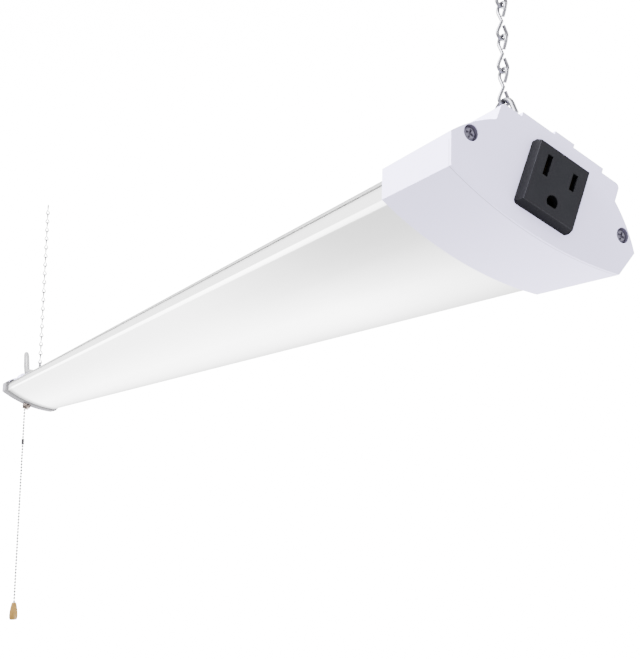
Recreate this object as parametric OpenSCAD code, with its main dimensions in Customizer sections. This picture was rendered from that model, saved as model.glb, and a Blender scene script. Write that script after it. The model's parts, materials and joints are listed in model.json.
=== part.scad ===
// Hanging shop light: a long lamp body with a moulded cap on each end, hung on
// two jack chains. The outlet end is at +X, the power end at -X, up is +Z.
// The origin is where a ceiling hook bears in the top link of the outlet-end chain.

/* [Lamp body] */
// Length over both end caps
lamp_length = 1220; // [700:10:1600]
// Width at the upper edge of the side facets
full_width = 90.8; // [80:0.2:110]
// How far each lower corner of the cap lies in from that width
facet_lean = 4.4; // [3:0.1:6]
// Height of the lower corners above the lowest line of the arc
corner_rise = 5.3; // [4:0.1:7]
// Height of the upper edge of the side facets
facet_top = 17; // [15:0.5:18]
// How far each edge of the raised back lies in from the full width
back_lean = 15.4; // [14:0.2:17]
// Height where the raised back leaves the shoulders
back_foot = 31.6; // [30:0.2:33]
// Heights of the three steps of the raised back, outer to inner
step_tops = [38.9, 40.8, 42.2];
// Widths of the two inner steps
step_widths = [41, 9.8];
// Rounding of the outer edges of the raised back
back_round = 2; // [1:0.2:3]
// Tilt of the lamp about its hooks, as it hangs
lamp_tilt = 22; // [0:1:24]

/* [End caps] */
// Length of an end cap
cap_length = 46; // [42:1:60]
// Wall of an end cap
cap_wall = 2; // [1.6:0.1:2.4]
// End wall of an end cap
cap_face = 2.4; // [2:0.1:3]
// Depth of the collar that takes the body
collar_depth = 9; // [6:0.5:12]
// Clearance between collar and body
collar_gap = 0.1; // [0.05:0.05:0.3]
// How far the screws of a cap lie in from the full width
screw_lean = 7.7; // [7:0.1:9]
// Height of the cap screws
screw_height = 20.8; // [20:0.2:21.6]
// Width of the screw recesses
recess_d = 6.2; // [5.4:0.1:6.6]
// Depth of the screw recesses
recess_depth = 3; // [2.4:0.2:4]
// Distance of the hooks from the lamp's ends
hook_inset = 33; // [30:1:34]

/* [Housing] */
// How far the housing and the lens lie inside the cap's outline
body_inset = 4; // [3.6:0.1:4.4]
// Sheet of the housing
sheet = 1; // [0.8:0.1:1.2]
// Height of the lower edge of the side rails
rail_foot = 8.8; // [8:0.1:9.6]
// How far the housing's raised back lies in from the cap's
ridge_lean = 4; // [3:0.5:6]
// Height of the housing's raised back
ridge_top = 35.5; // [33:0.5:36]
// Height of the tray that carries the lights
tray_height = 19.5; // [19:0.5:21]

/* [Lens] */
// How far the middle of the lens lies inside the cap's outline
lens_inset = 1.8; // [1.6:0.1:2.4]
// Wall of the lens
lens_wall = 1.5; // [1.2:0.1:1.8]

/* [Outlet] */
// Front width of the outlet
outlet_width = 23.8; // [22:0.2:25]
// Front height of the outlet
outlet_height = 24.8; // [24:0.2:26]
// How far the outlet stands out of the cap
outlet_proud = 4.1; // [3:0.1:5]
// How much wider the outlet is at its foot, each side
outlet_flare = 1.2; // [0.8:0.1:1.6]
// Height of the middle of the outlet
outlet_middle = 20; // [19.6:0.1:20.4]
// Distance between the two blade slots
blade_span = 12.7; // [12.5:0.1:12.9]
// Height of the blade slots above the middle of the outlet
blade_rise = 4.6; // [4.2:0.1:4.8]
// Distance of the ground hole below the blade slots
ground_drop = 11.9; // [11.6:0.1:12]
// Depth of the outlet behind the face of the cap
outlet_depth = 22; // [18:1:24]

/* [Power end] */
// Height of the cord gland on the end face
gland_height = 28.5; // [28:0.5:29]
// Width of the gland's rim
gland_d = 19; // [17:0.5:20]
// How far the light colour switch lies in from the full width
selector_lean = 23.4; // [22:0.2:25]
// Height of the light colour switch
selector_height = 19; // [18:0.5:20]
// Travel of the light colour switch each way
selector_travel = 5; // [4:0.5:5.5]
// Width of the pull switch collar
ferrule_d = 12.6; // [11:0.2:14]
// Distance of the pull switch from the end of the lamp
ferrule_inset = 24; // [22:1:26]

/* [Chains] */
// Pitch of the jack chain
link_pitch = 14.4; // [12:0.2:17]
// Links in each chain
link_count = 18; // [6:1:20]
// Wire of the jack chain
link_wire = 1.5; // [1.3:0.05:1.6]
// Outer width of a chain loop
loop_width = 6.4; // [6.2:0.1:7]
// Wire of the hooks
hook_wire = 2.4; // [2:0.1:2.4]

/* [Pull chain] */
// Width of a bead
bead_d = 3.4; // [3:0.1:3.6]
// Pitch of the beads
bead_pitch = 4.7; // [4.2:0.1:5.5]
// Beads above the connector
upper_bead_count = 9; // [4:1:14]
// Beads below the connector
lower_bead_count = 51; // [20:1:60]
// Height of the wooden bell
bell_height = 25; // [20:1:32]
// Width of the wooden bell
bell_width = 12.6; // [10:0.2:16]

/* [Power cord] */
// Thickness of the cord
cord_d = 7; // [6:0.2:7]

/* [Hidden] */
$fn = 64;
overrun = 1;

// Cap outline: a straight side facet, one arc below and one arc over both shoulders
base_width = full_width - 2 * facet_lean;
back_width = full_width - 2 * back_lean;
ridge_width = back_width - 2 * ridge_lean;
screw_span = full_width - 2 * screw_lean;
selector_side = full_width / 2 - selector_lean;
facet_slope = (full_width - base_width) / 2 / (facet_top - corner_rise);
facet_stretch = sqrt(1 + facet_slope * facet_slope);
bottom_r = (pow(base_width / 2, 2) + pow(corner_rise, 2)) / (2 * corner_rise);
shoulder_c = (pow(back_foot, 2) + pow(back_width / 2, 2) - pow(facet_top, 2) - pow(full_width / 2, 2))
    / (2 * (back_foot - facet_top));
shoulder_r = sqrt(pow(full_width / 2, 2) + pow(facet_top - shoulder_c, 2));
back_top = step_tops[2];
half_length = lamp_length / 2;
plate_sheet = 1.5;
body_end = cap_length - collar_depth;
body_half = half_length - body_end;

// Jack chain: each link is two loops at right angles, drawn in to a waist
chain_gap = 0.12;
wire_end_share = 1.3;
link_sides = 6;
arc_steps = 6;
link_height = link_pitch + link_wire + chain_gap;
loop_r = (loop_width - link_wire) / 2;
waist_drop = link_height / 2;
leg_angle = asin(loop_r / (waist_drop - loop_r));
wire_end = link_wire * wire_end_share;
link_top = link_wire / 2;
function link_z(k) = link_top - k * link_pitch;
chain_foot = link_z(link_count - 1) - link_height;

// Hook: a flat-bottomed loop under the cap's bridge, a slanting shank, an open eye above
hook_gap = 0.05;
hook_corner = 3.5;
hook_flat = 4;
hook_leg = 9;
hook_bend = 6;
hook_lean = 55;
hook_eye = 5.5;
hook_mouth_angle = 25;
hook_tail = 5;
hook_tip = 8.5;
bar_in = 0.15;
bar_step = 0.01;
leg_x = hook_flat + hook_corner;
bend_end = [leg_x - hook_bend + hook_bend * cos(hook_lean), hook_leg + hook_bend * sin(hook_lean)];
eye_start_x = -hook_eye * cos(hook_lean);
shank_length = (bend_end.x - eye_start_x) / sin(hook_lean);
eye_z = bend_end.y + shank_length * cos(hook_lean) + hook_eye * sin(hook_lean);
hook_height = eye_z + hook_eye;
hook_top = chain_foot + link_wire / 2 + hook_wire / 2 + chain_gap;
hang_drop = hook_height - hook_top;
axis_height = back_top - cap_wall - hook_gap - hook_wire / 2;
far_x = 2 * hook_inset - lamp_length;

// Openings in the cap's back that the hook passes, either side of the bridge
slot_play = 0.4;
slot_in = hook_flat - slot_play / 2;
slot_out = leg_x + hook_wire / 2 + slot_play;
slot_width = 7;
channel_width = 5.6;

// Cap screws
screw_d = 2.9;
screw_play = 0.2;
screw_fit = 0.05;
boss_d = 6.6;
head_d = 5.4;
head_height = 2;
head_round = 0.8;
drive_width = 0.9;
drive_length = 3.4;
drive_depth = 1;
ear_r = 3.6;
ear_wall = 1.2;
ear_play = 0.15;

// Housing details
ledge_height = 13.2;
ledge_width = 3.4;
tongue_wall = 1.2;
tongue_play = 0.1;
groove_height = 14.6;
groove_size = 0.9;
groove_depth = 0.5;
bead_side = 14;
bead_width = 5;
bead_depth = 0.9;
tray_sheet = 0.8;
tray_play = 0.3;
tray_lip = 2.5;
tray_bend = 7.4;
seat_gap = 0.05;
board_width = 22;
board_sheet = 1.2;
board_end = 12;
led_size = [3.5, 2.8, 0.8];
led_pitch = 22;
led_side = 5.5;
driver_size = [190, 30, 12];
driver_end = 30;
driver_side = -3;
driver_foot = 8;
driver_sheet = 1.2;
case_round = 1.5;
tap_d = 2.6;
tap_head_d = 5;
tap_head = 1.6;
tap_side = 12.4;
wire_d = 2;
wire_side = 16;
wire_pitch = 2.6;
wire_step = 1.2;
wire_sides = 6;
wire_lead = 4;
window_low = 19;
window_high = 30;
window_lean = 14.7;
window_width = 18;
window_side = screw_span / 2 - window_lean - window_width / 2;

// Outlet details
face_wall = 2.4;
outlet_corner = 1.8;
body_step = 0.6;
opening_play = 0.2;
slot_w = 2.4;
neutral_tall = 8.6;
live_tall = 7;
ground_d = 5.2;
ground_flat = 1.9;
pocket_wide = 4.8;
pocket_tall = 9.8;
pocket_depth = 14;
leaf = 0.5;
leaf_gap = 1.7;
leaf_tall = 6.4;
leaf_depth = 11;
tail_length = 4;
ground_pocket = 6.6;
ground_tube = 5.9;
ground_bore = 4.9;
wing = 1;
wing_length = 6;
wing_tall = 9;

// Pull switch details
nipple_d = 9.4;
nipple_play = 0.1;
bore_d = 4.4;
switch_size = [20, 16, 14];
nut_thick = 1.8;
nut_d = 14;
collar_height = 5.2;
nose_d = 9.8;
nose_height = 3;
nose_wall = 1.4;
flute_count = 20;
flute_d = 1;
lead_d = 1;
lead_play = 0.3;
lead_top = 9;
lead_bead_gap = 0.4;

// Light colour switch details
selector_width = 5;
selector_tall = 19;
selector_depth = 9;
selector_body_side = 9;
stem_size = 3;
stem_play = 0.2;
knob_size = [5, 8, 9];
knob_gap = 0.3;
knob_round = 1.6;

// Cord gland
gland_hole = 16;
gland_rim = 2.4;
gland_nose_d = 13.4;
gland_nose = 6.5;
gland_inside = 7;
gland_lock = 17.4;
gland_play = 0.1;
gland_chamfer = 0.8;
sleeve_foot = 11.4;
sleeve_tip = 9;

// Pull chain
strand_d = 0.9;
connector_d = 4.4;
connector_length = 9.4;
connector_neck = 2.4;
connector_wall = 0.4;
connector_end = 0.5;
bead_sides = 6;
chain_start = 0.15;
bell_bore = 1.6;
bell_cavity = 4.6;
bell_cavity_depth = 9;
bell_play = 0.1;
bell_shares = [
    [0.46, 0], [0.56, 0.03], [0.8, 0.3], [0.97, 0.62], [1, 0.76], [0.97, 0.88], [0.86, 0.98], [0.8, 1]
];

// Power cord: points in millimetres inward from the power end, sideways and up
cord_route = [
    [-14, 0, 28.5], [-21, 0, 28.5], [-31.5, -1, 30.5], [-41, -4.5, 36], [-47.5, -9.5, 44], [-50, -15, 54],
    [-48, -20.5, 63.5], [-41.5, -25, 71.5], [-32, -29, 77], [-21, -31, 78.5], [-10, -31, 76],
    [-0.5, -29, 70], [5.5, -26, 62], [11.5, -23, 54], [20.5, -21.5, 48], [32, -21, 46], [46, -20.5, 45.5],
    [62, -14.5, 45], [77, -3, 45], [91, 11, 45.5], [105, 26, 46.5], [119, 39.5, 47.5], [134, 48.5, 48],
    [147, 50.5, 48], [155, 50.5, 48]
];
tail_route = [
    [285, 50.5, 40.5], [293, 50.5, 40.5], [307, 48, 41.5], [322, 39, 44.5], [336, 28, 47.5], [350, 20, 48.5],
    [364, 17.5, 48.5], [372, 17.5, 48.5]
];
cord_sides = 10;

// Hank: loops with round folds, drawn in at the waist, spiralling in above and out below
stretch_count = 13;
hank_x = 220;
hank_y = 17;
hank_half = 57;
hank_outer = 33.5;
hank_fold = 21;
hank_step = 8 * (hank_outer - hank_fold) / stretch_count;
hank_draw = 8;
ring_counts = [4, 8];
hank_sides = 6;
hank_layer = 7.5;
climb_stretch = 6;
tie_sheet = 1;
tie_gap = 0.25;
tie_width = 12;
hank_low = ridge_top + tie_sheet + 2 * tie_gap + cord_d / 2;
hank_high = hank_low + hank_layer;

// Plug: tapered relief, round body, two blades and a ground pin
relief_length = 32;
relief_tip = 9;
relief_d = 13;
plug_d = 25;
plug_length = 34;
plug_round = 4;
plug_play = 0.1;
pocket_in = 6;
blade_size = [16, 1.5, 6.35];
pin_d = 4.75;
pin_length = 19;

// Colours as they show in the picture
cap_colour = [0.88, 0.87, 0.91];
steel_colour = [0.83, 0.84, 0.86];
lens_colour = [0.96, 0.96, 0.96];
black_colour = [0.12, 0.12, 0.14];
zinc_colour = [0.62, 0.63, 0.66];
wire_colour = [0.5, 0.51, 0.55];
brass_colour = [0.78, 0.65, 0.36];
phosphor_colour = [0.95, 0.85, 0.4];
cord_colour = [0.86, 0.86, 0.88];
wood_colour = [0.76, 0.6, 0.38];

// Places the lamp, drawn level with its middle at x = 0, on its hooks
module on_lamp() {
    translate([hook_inset - half_length, 0, -hang_drop])
        rotate([-lamp_tilt, 0, 0])
            translate([0, 0, -axis_height])
                children();
}

// Draws at an end of the lamp: x = 0 is the end face, inward is negative
module at_outlet_end() {
    translate([half_length, 0, 0])
        children();
}

module at_power_end() {
    mirror([1, 0, 0])
        translate([half_length, 0, 0])
            children();
}

// A point of the level lamp, where it hangs
function hung(p) = [
    p.x + hook_inset - half_length,
    p.y * cos(lamp_tilt) + (p.z - axis_height) * sin(lamp_tilt),
    -p.y * sin(lamp_tilt) + (p.z - axis_height) * cos(lamp_tilt) - hang_drop
];

module along_x(x0, x1) {
    translate([x0, 0, 0])
        rotate([90, 0, 90])
            linear_extrude(x1 - x0)
                children();
}

module both_sides() {
    children();
    mirror([0, 1, 0])
        children();
}

// Tube along points, each ring turned as little as possible from the one before
function unit(v) = v / norm(v);
function ahead(p, i) = unit(p[min(i + 1, len(p) - 1)] - p[min(i, len(p) - 2)]);
function heading(p, i) = i == 0 ? ahead(p, 0) : unit(ahead(p, i) + ahead(p, i - 1));
function across(v, h) = unit(v - (v * h) * h);
function carried(p, i, last) =
    i == len(p) ? [] : let (s = across(last, heading(p, i))) concat([s], carried(p, i + 1, s));
function ring(middle, s, t, r, sides) =
    [for (k = [0:sides - 1]) middle + r * (cos(360 * k / sides) * s + sin(360 * k / sides) * t)];

module tube(p, d, sides, first) {
    s = carried(p, 0, first);
    last = len(p) - 1;
    points = [for (i = [0:last]) each ring(p[i], s[i], cross(heading(p, i), s[i]), d / 2, sides)];
    walls = [
        for (i = [0:last - 1], k = [0:sides - 1])
            let (a = i * sides + k, b = i * sides + (k + 1) % sides)
                each [[a, a + sides, b], [b, a + sides, b + sides]]
    ];
    ends = [
        for (k = [1:sides - 2])
            each [[0, k, k + 1], [last * sides, last * sides + k + 1, last * sides + k]]
    ];
    polyhedron(points, concat(walls, ends));
}

// A point given inward from the power end, sideways and up, where it hangs
function from_power(p) = hung([p.x - half_length, p.y, p.z]);

// Rectangle with round corners
module round_area(low, high, r) {
    translate([low.x + r, low.y])
        square([high.x - low.x - 2 * r, high.y - low.y]);
    translate([low.x, low.y + r])
        square([high.x - low.x, high.y - low.y - 2 * r]);
    for (x = [low.x + r, high.x - r], y = [low.y + r, high.y - r])
        translate([x, y])
            circle(r = r);
}

// A box by its low and high corners
module span(low, high) {
    translate(low)
        cube(high - low);
}

// Area between the two side facets, moved inward
module facet_area(inset) {
    foot = base_width / 2 - facet_slope * corner_rise - inset * facet_stretch;
    head = foot + facet_slope * back_top;
    polygon([[-foot, 0], [foot, 0], [head, back_top], [-head, back_top]]);
}

module shoulder_area(inset) {
    translate([0, shoulder_c])
        circle(r = shoulder_r - inset, $fn = 180);
}

module flat_shoulder_area(inset, top) {
    intersection() {
        shoulder_area(inset);
        translate([-full_width, 0])
            square([2 * full_width, top]);
    }
}

module belly_area(inset) {
    translate([0, bottom_r])
        circle(r = bottom_r - inset, $fn = 360);
}

module lower_area(inset) {
    intersection() {
        facet_area(inset);
        shoulder_area(inset);
        belly_area(inset);
    }
}

// Raised back of the cap: three steps, the outer edges rounded
module back_area(inset) {
    low = corner_rise + inset;
    top = step_tops[0] - inset;
    half = back_width / 2 - inset;
    r = max(back_round - inset / 2, back_round / 4);
    translate([-half, low])
        square([2 * half, top - low - r]);
    translate([r - half, low])
        square([2 * (half - r), top - low]);
    for (side = [-1, 1])
        translate([side * (half - r), top - r])
            circle(r = r);
    for (i = [0, 1])
        translate([inset - step_widths[i] / 2, low])
            square([step_widths[i] - 2 * inset, step_tops[i + 1] - inset - low]);
}

module cap_area(inset) {
    lower_area(inset);
    back_area(inset);
}

// Outline of housing and lens together; grow widens it for the collar
module body_area(grow) {
    intersection() {
        facet_area(body_inset - grow);
        flat_shoulder_area(body_inset - grow, ridge_top + grow);
        belly_area(lens_inset - grow);
    }
    translate([-ridge_width / 2 - grow, rail_foot])
        square([ridge_width + 2 * grow, ridge_top + grow - rail_foot]);
}

module screw_places() {
    for (side = [-1, 1])
        translate([0, side * screw_span / 2, screw_height])
            rotate([0, 90, 0])
                children();
}

module ear_area(grow) {
    intersection() {
        for (side = [-1, 1])
            translate([side * screw_span / 2, screw_height])
                circle(r = ear_r + grow);
        cap_area(ear_wall - grow);
    }
}

// End cap without the cut-outs of its own end: shell, collar, bosses, hook openings
module cap_shell() {
    inner_end = -cap_length + collar_depth;
    difference() {
        union() {
            difference() {
                along_x(-cap_length, 0)
                    cap_area(0);
                along_x(inner_end, -cap_face)
                    cap_area(cap_wall);
                along_x(-cap_length - overrun, inner_end + overrun)
                    body_area(collar_gap);
                along_x(-cap_length - overrun, inner_end + plate_sheet + ear_play)
                    ear_area(ear_play);
            }
            intersection() {
                screw_places()
                    translate([0, 0, inner_end + plate_sheet])
                        cylinder(d = boss_d, h = -inner_end - plate_sheet);
                along_x(inner_end, 0)
                    cap_area(0);
            }
        }
        screw_places() {
            translate([0, 0, -recess_depth])
                cylinder(d = recess_d, h = recess_depth + overrun);
            translate([0, 0, inner_end])
                cylinder(d = screw_d + screw_play, h = -inner_end);
        }
        hook_openings();
    }
}

// Two openings for the hook and the channel under the bridge between them
module hook_openings() {
    for (side = [-1, 1])
        span([-hook_inset + min(side * slot_in, side * slot_out), -slot_width / 2, ridge_top + collar_gap],
            [-hook_inset + max(side * slot_in, side * slot_out), slot_width / 2, back_top + overrun]);
    span([-hook_inset - slot_out, -channel_width / 2, ridge_top + collar_gap],
        [-hook_inset + slot_out, channel_width / 2, back_top - cap_wall]);
}

module outlet_cap() {
    color(cap_colour)
        on_lamp()
            at_outlet_end()
                difference() {
                    cap_shell();
                    translate([-cap_face - overrun, -outlet_width / 2 + body_step - opening_play,
                        outlet_middle - outlet_height / 2 + body_step - opening_play])
                        cube([cap_face + 2 * overrun, outlet_width - 2 * body_step + 2 * opening_play,
                            outlet_height - 2 * body_step + 2 * opening_play]);
                }
}

module power_cap() {
    color(cap_colour)
        on_lamp()
            at_power_end()
                difference() {
                    cap_shell();
                    translate([-cap_face - overrun, 0, gland_height])
                        rotate([0, 90, 0])
                            cylinder(d = gland_hole, h = cap_face + 2 * overrun);
                    translate([-cap_face - overrun, -selector_side - selector_width / 2 - opening_play,
                        selector_height - selector_tall / 2 - opening_play])
                        cube([cap_face + 2 * overrun, selector_width + 2 * opening_play,
                            selector_tall + 2 * opening_play]);
                    translate([-ferrule_inset, 0, -overrun])
                        cylinder(d = nipple_d + 2 * nipple_play, h = cap_wall + 2 * overrun);
                }
}

// Rolled sheet channel, open below, with a raised back, side rails and inner ledges
module housing_area() {
    difference() {
        union() {
            intersection() {
                facet_area(body_inset);
                flat_shoulder_area(body_inset, ridge_top);
            }
            translate([-ridge_width / 2, rail_foot])
                square([ridge_width, ridge_top - rail_foot]);
        }
        difference() {
            union() {
                intersection() {
                    facet_area(body_inset + sheet);
                    flat_shoulder_area(body_inset + sheet, ridge_top - sheet);
                }
                translate([-ridge_width / 2 + sheet, 0])
                    square([ridge_width - 2 * sheet, ridge_top - sheet]);
            }
            ledge_area();
        }
        translate([-full_width, -overrun])
            square([2 * full_width, rail_foot + overrun]);
        for (side = [-1, 1]) {
            translate([side * rail_half(groove_height), groove_height])
                square([2 * groove_depth, groove_size], center = true);
            translate([side * bead_side, ridge_top])
                square([bead_width, 2 * bead_depth / 3], center = true);
        }
    }
}

// Half width of the housing's outside at a height on its side rail
function rail_half(z) = base_width / 2 + facet_slope * (z - corner_rise) - body_inset * facet_stretch;

module ledge_area() {
    for (side = [-1, 1])
        translate([side * (rail_half(ledge_height) - sheet - ledge_width / 2), ledge_height + sheet / 2])
            square([ledge_width + sheet / 2, sheet], center = true);
}

module housing() {
    color(steel_colour)
        on_lamp()
            along_x(-body_half, body_half)
                housing_area();
}

// Lens: curved shell with side walls and tongues that snap inside the rails
module lens_area() {
    intersection() {
        difference() {
            intersection() {
                facet_area(body_inset);
                belly_area(lens_inset);
            }
            intersection() {
                facet_area(body_inset + lens_wall);
                belly_area(lens_inset + lens_wall);
            }
        }
        translate([-full_width, 0])
            square([2 * full_width, rail_foot]);
    }
    intersection() {
        difference() {
            facet_area(body_inset + sheet + tongue_play);
            facet_area(body_inset + sheet + tongue_play + tongue_wall);
        }
        belly_area(lens_inset + lens_wall / 2);
        translate([-full_width, rail_foot - lens_wall])
            square([2 * full_width, ledge_height - tongue_play - rail_foot + lens_wall]);
    }
}

module lens() {
    color(lens_colour)
        on_lamp()
            along_x(-body_half, body_half)
                lens_area();
}

// Tray of bent sheet that stiffens the housing and carries the lights and the driver
tray_low = ledge_height + sheet + seat_gap;
tray_foot = rail_half(tray_low) - sheet * facet_stretch - tray_play;
tray_half = tray_foot - tray_bend;
tray_half_line = [
    [tray_half, tray_height], [tray_foot - tray_lip, tray_low], [tray_foot, tray_low],
    [tray_foot, tray_low + tray_sheet], [tray_foot - tray_lip + tray_sheet / 2, tray_low + tray_sheet],
    [tray_half + tray_sheet / 2, tray_height + tray_sheet]
];

module tray_area() {
    polygon(concat(tray_half_line, [for (i = [len(tray_half_line) - 1:-1:0]) mirrored(tray_half_line[i])]));
}

function mirrored(p) = [-p.x, p.y];

driver_x = -body_half + driver_end;
tap_z = tray_height + seat_gap;

module driver_taps() {
    for (x = [driver_x - driver_foot / 2, driver_x + driver_size.x + driver_foot / 2])
        for (side = [-1, 1])
            translate([x, driver_side + side * tap_side, tap_z])
                children();
}

module tray() {
    color(steel_colour)
        on_lamp()
            difference() {
                along_x(-body_half, body_half)
                    tray_area();
                driver_taps()
                    cylinder(d = tap_d + 2 * screw_fit, h = tray_sheet + overrun);
            }
}

module led_board() {
    color(lens_colour)
        on_lamp()
            span([-body_half + board_end, -board_width / 2, tray_height - seat_gap - board_sheet],
                [body_half - board_end, board_width / 2, tray_height - seat_gap]);
}

module leds() {
    count = floor((body_half - board_end) / led_pitch) - 1;
    color(phosphor_colour)
        on_lamp()
            for (i = [-count:count], side = [-1, 1])
                translate([i * led_pitch, side * led_side,
                    tray_height - 2 * seat_gap - board_sheet - led_size.z / 2])
                    cube(led_size, center = true);
}

// Driver in a closed case with a screw flange at each end
module driver() {
    top = tray_height + tray_sheet + seat_gap;
    color(lens_colour)
        on_lamp()
            difference() {
                union() {
                    along_x(driver_x, driver_x + driver_size.x)
                        round_area([driver_side - driver_size.y / 2, top],
                            [driver_side + driver_size.y / 2, top + driver_size.z], case_round);
                    span([driver_x - driver_foot, driver_side - driver_size.y / 2, top],
                        [driver_x + driver_size.x + driver_foot, driver_side + driver_size.y / 2,
                            top + driver_sheet]);
                }
                driver_taps()
                    cylinder(d = tap_d + 2 * screw_fit, h = tray_sheet + driver_sheet + overrun);
            }
}

module driver_screws() {
    shank = tray_sheet + driver_sheet + seat_gap;
    color(zinc_colour)
        on_lamp()
            driver_taps() {
                cylinder(d = tap_d, h = shank);
                translate([0, 0, shank])
                    cylinder(d = tap_head_d, h = tap_head);
            }
}

// Three wires from the gland along the tray to the back of the outlet
wire_z = tray_height + tray_sheet + seat_gap + wire_d / 2;
wire_ends = [
    [-blade_span / 2, outlet_middle + blade_rise], [blade_span / 2, outlet_middle + blade_rise],
    [0, outlet_middle + blade_rise - ground_drop]
];
window_middle = tray_height + tray_sheet + 2 * wire_d;
function wire_route(i) =
    let (
        side = (i - 1) * wire_pitch,
        rise = (1 - i) * wire_step,
        inner = wire_side + side,
        window = body_end + plate_sheet,
        bend = wire_ends[i] / 2 + [inner, window_middle + rise] / 2,
        far = outlet_depth + tail_length + seat_gap,
        slope = (window - gland_inside - wire_lead) / 3
    )
    [
        [gland_inside + seat_gap, side, gland_height], [gland_inside + wire_lead, side, gland_height],
        [window - 2 * slope, (side + inner) / 2, (gland_height + window_middle) / 2 + rise],
        [window - slope / 2, inner, window_middle + rise], [window + wire_lead, inner, window_middle + rise],
        [window + 3 * wire_lead, inner, wire_z], [lamp_length - window - 3 * wire_lead, inner, wire_z],
        [lamp_length - window, inner, window_middle + rise],
        [lamp_length - (window + far) / 2, bend.x, bend.y],
        [lamp_length - far - wire_d, wire_ends[i].x, wire_ends[i].y],
        [lamp_length - far, wire_ends[i].x, wire_ends[i].y]
    ];

module wiring() {
    color(cord_colour)
        for (i = [0:2])
            tube([for (p = wire_route(i)) from_power(p)], wire_d, wire_sides, [0, 0, 1]);
}

// Plate that closes an end of the body, with an ear for each cap screw
module end_plate() {
    difference() {
        along_x(-body_end, -body_end + plate_sheet) {
            intersection() {
                body_area(0);
                cap_area(cap_wall + ear_play);
            }
            ear_area(0);
        }
        span([-body_end - overrun, window_side - window_width / 2, window_low],
            [-body_end + plate_sheet + overrun, window_side + window_width / 2, window_high]);
        screw_places()
            translate([0, 0, -body_end - overrun])
                cylinder(d = screw_d + 2 * screw_fit, h = plate_sheet + 2 * overrun);
    }
}

module end_plate_outlet() {
    color(steel_colour)
        on_lamp()
            at_outlet_end()
                end_plate();
}

module end_plate_power() {
    color(steel_colour)
        on_lamp()
            at_power_end()
                end_plate();
}

// Cap screws: round head with a cross slot, sunk in the end of the cap
module cap_screws() {
    screw_places() {
        translate([0, 0, seat_gap - body_end])
            cylinder(d = screw_d, h = body_end - recess_depth);
        translate([0, 0, seat_gap - recess_depth])
            difference() {
                union() {
                    cylinder(d = head_d, h = head_height - head_round);
                    translate([0, 0, head_height - head_round])
                        cylinder(d1 = head_d, d2 = head_d - 2 * head_round, h = head_round);
                }
                for (turn = [0, 90])
                    rotate([0, 0, turn])
                        translate([-drive_length / 2, -drive_width / 2, head_height - drive_depth])
                            cube([drive_length, drive_width, drive_depth + overrun]);
            }
    }
}

module outlet_cap_screws() {
    color(zinc_colour)
        on_lamp()
            at_outlet_end()
                cap_screws();
}

module power_cap_screws() {
    color(zinc_colour)
        on_lamp()
            at_power_end()
                cap_screws();
}

// Outlet: face with sloping sides, a body behind it, two blade slots and a ground hole
blade_z = outlet_middle + blade_rise;
ground_z = blade_z - ground_drop;
pocket_front = outlet_proud - face_wall;
pocket_back = pocket_front - pocket_depth;

// Prism whose width grows from the front to the foot, seen from above
module flared(width, height) {
    linear_extrude(height, center = true)
        polygon([
            [0, -width / 2 - outlet_flare], [outlet_proud, -width / 2], [outlet_proud, width / 2],
            [0, width / 2 + outlet_flare]
        ]);
}

module outlet_body() {
    foot = [outlet_width / 2 + outlet_flare, outlet_height / 2 + outlet_flare];
    translate([0, 0, outlet_middle])
        intersection() {
            flared(outlet_width, 2 * outlet_height);
            rotate([90, 0, 0])
                flared(outlet_height, 2 * outlet_width);
            along_x(0, outlet_proud)
                round_area(-foot, foot, outlet_corner);
        }
    span([-outlet_depth, -outlet_width / 2 + body_step, outlet_middle - outlet_height / 2 + body_step],
        [0, outlet_width / 2 - body_step, outlet_middle + outlet_height / 2 - body_step]);
    both_sides()
        translate([-cap_face - seat_gap, outlet_width / 2 - body_step, outlet_middle - wing_tall / 2])
            linear_extrude(wing_tall)
                polygon([[0, -overrun], [0, wing], [-wing_length, 0], [-wing_length, -overrun]]);
}

module outlet() {
    color(black_colour)
        on_lamp()
            at_outlet_end()
                difference() {
                    outlet_body();
                    for (side = [-1, 1])
                        translate([0, side * blade_span / 2, blade_z]) {
                            tall = side < 0 ? neutral_tall : live_tall;
                            span([pocket_back, -slot_w / 2, -tall / 2],
                                [outlet_proud + overrun, slot_w / 2, tall / 2]);
                            span([pocket_back, -pocket_wide / 2, -pocket_tall / 2],
                                [pocket_front, pocket_wide / 2, pocket_tall / 2]);
                            span([-outlet_depth - overrun, -leaf, -leaf_tall / 4 - leaf],
                                [pocket_back + overrun, leaf, leaf_tall / 4 + leaf]);
                        }
                    along_x(pocket_back, outlet_proud + overrun)
                        intersection() {
                            translate([0, ground_z])
                                circle(d = ground_d);
                            translate([-ground_d, ground_z - ground_flat])
                                square([2 * ground_d, 2 * ground_d]);
                        }
                    translate([pocket_back, 0, ground_z])
                        rotate([0, 90, 0])
                            cylinder(d = ground_pocket, h = pocket_depth);
                    translate([-outlet_depth - overrun, 0, ground_z])
                        rotate([0, 90, 0])
                            cylinder(d = leaf_tall / 2, h = outlet_depth + pocket_back + 2 * overrun);
                }
}

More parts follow.
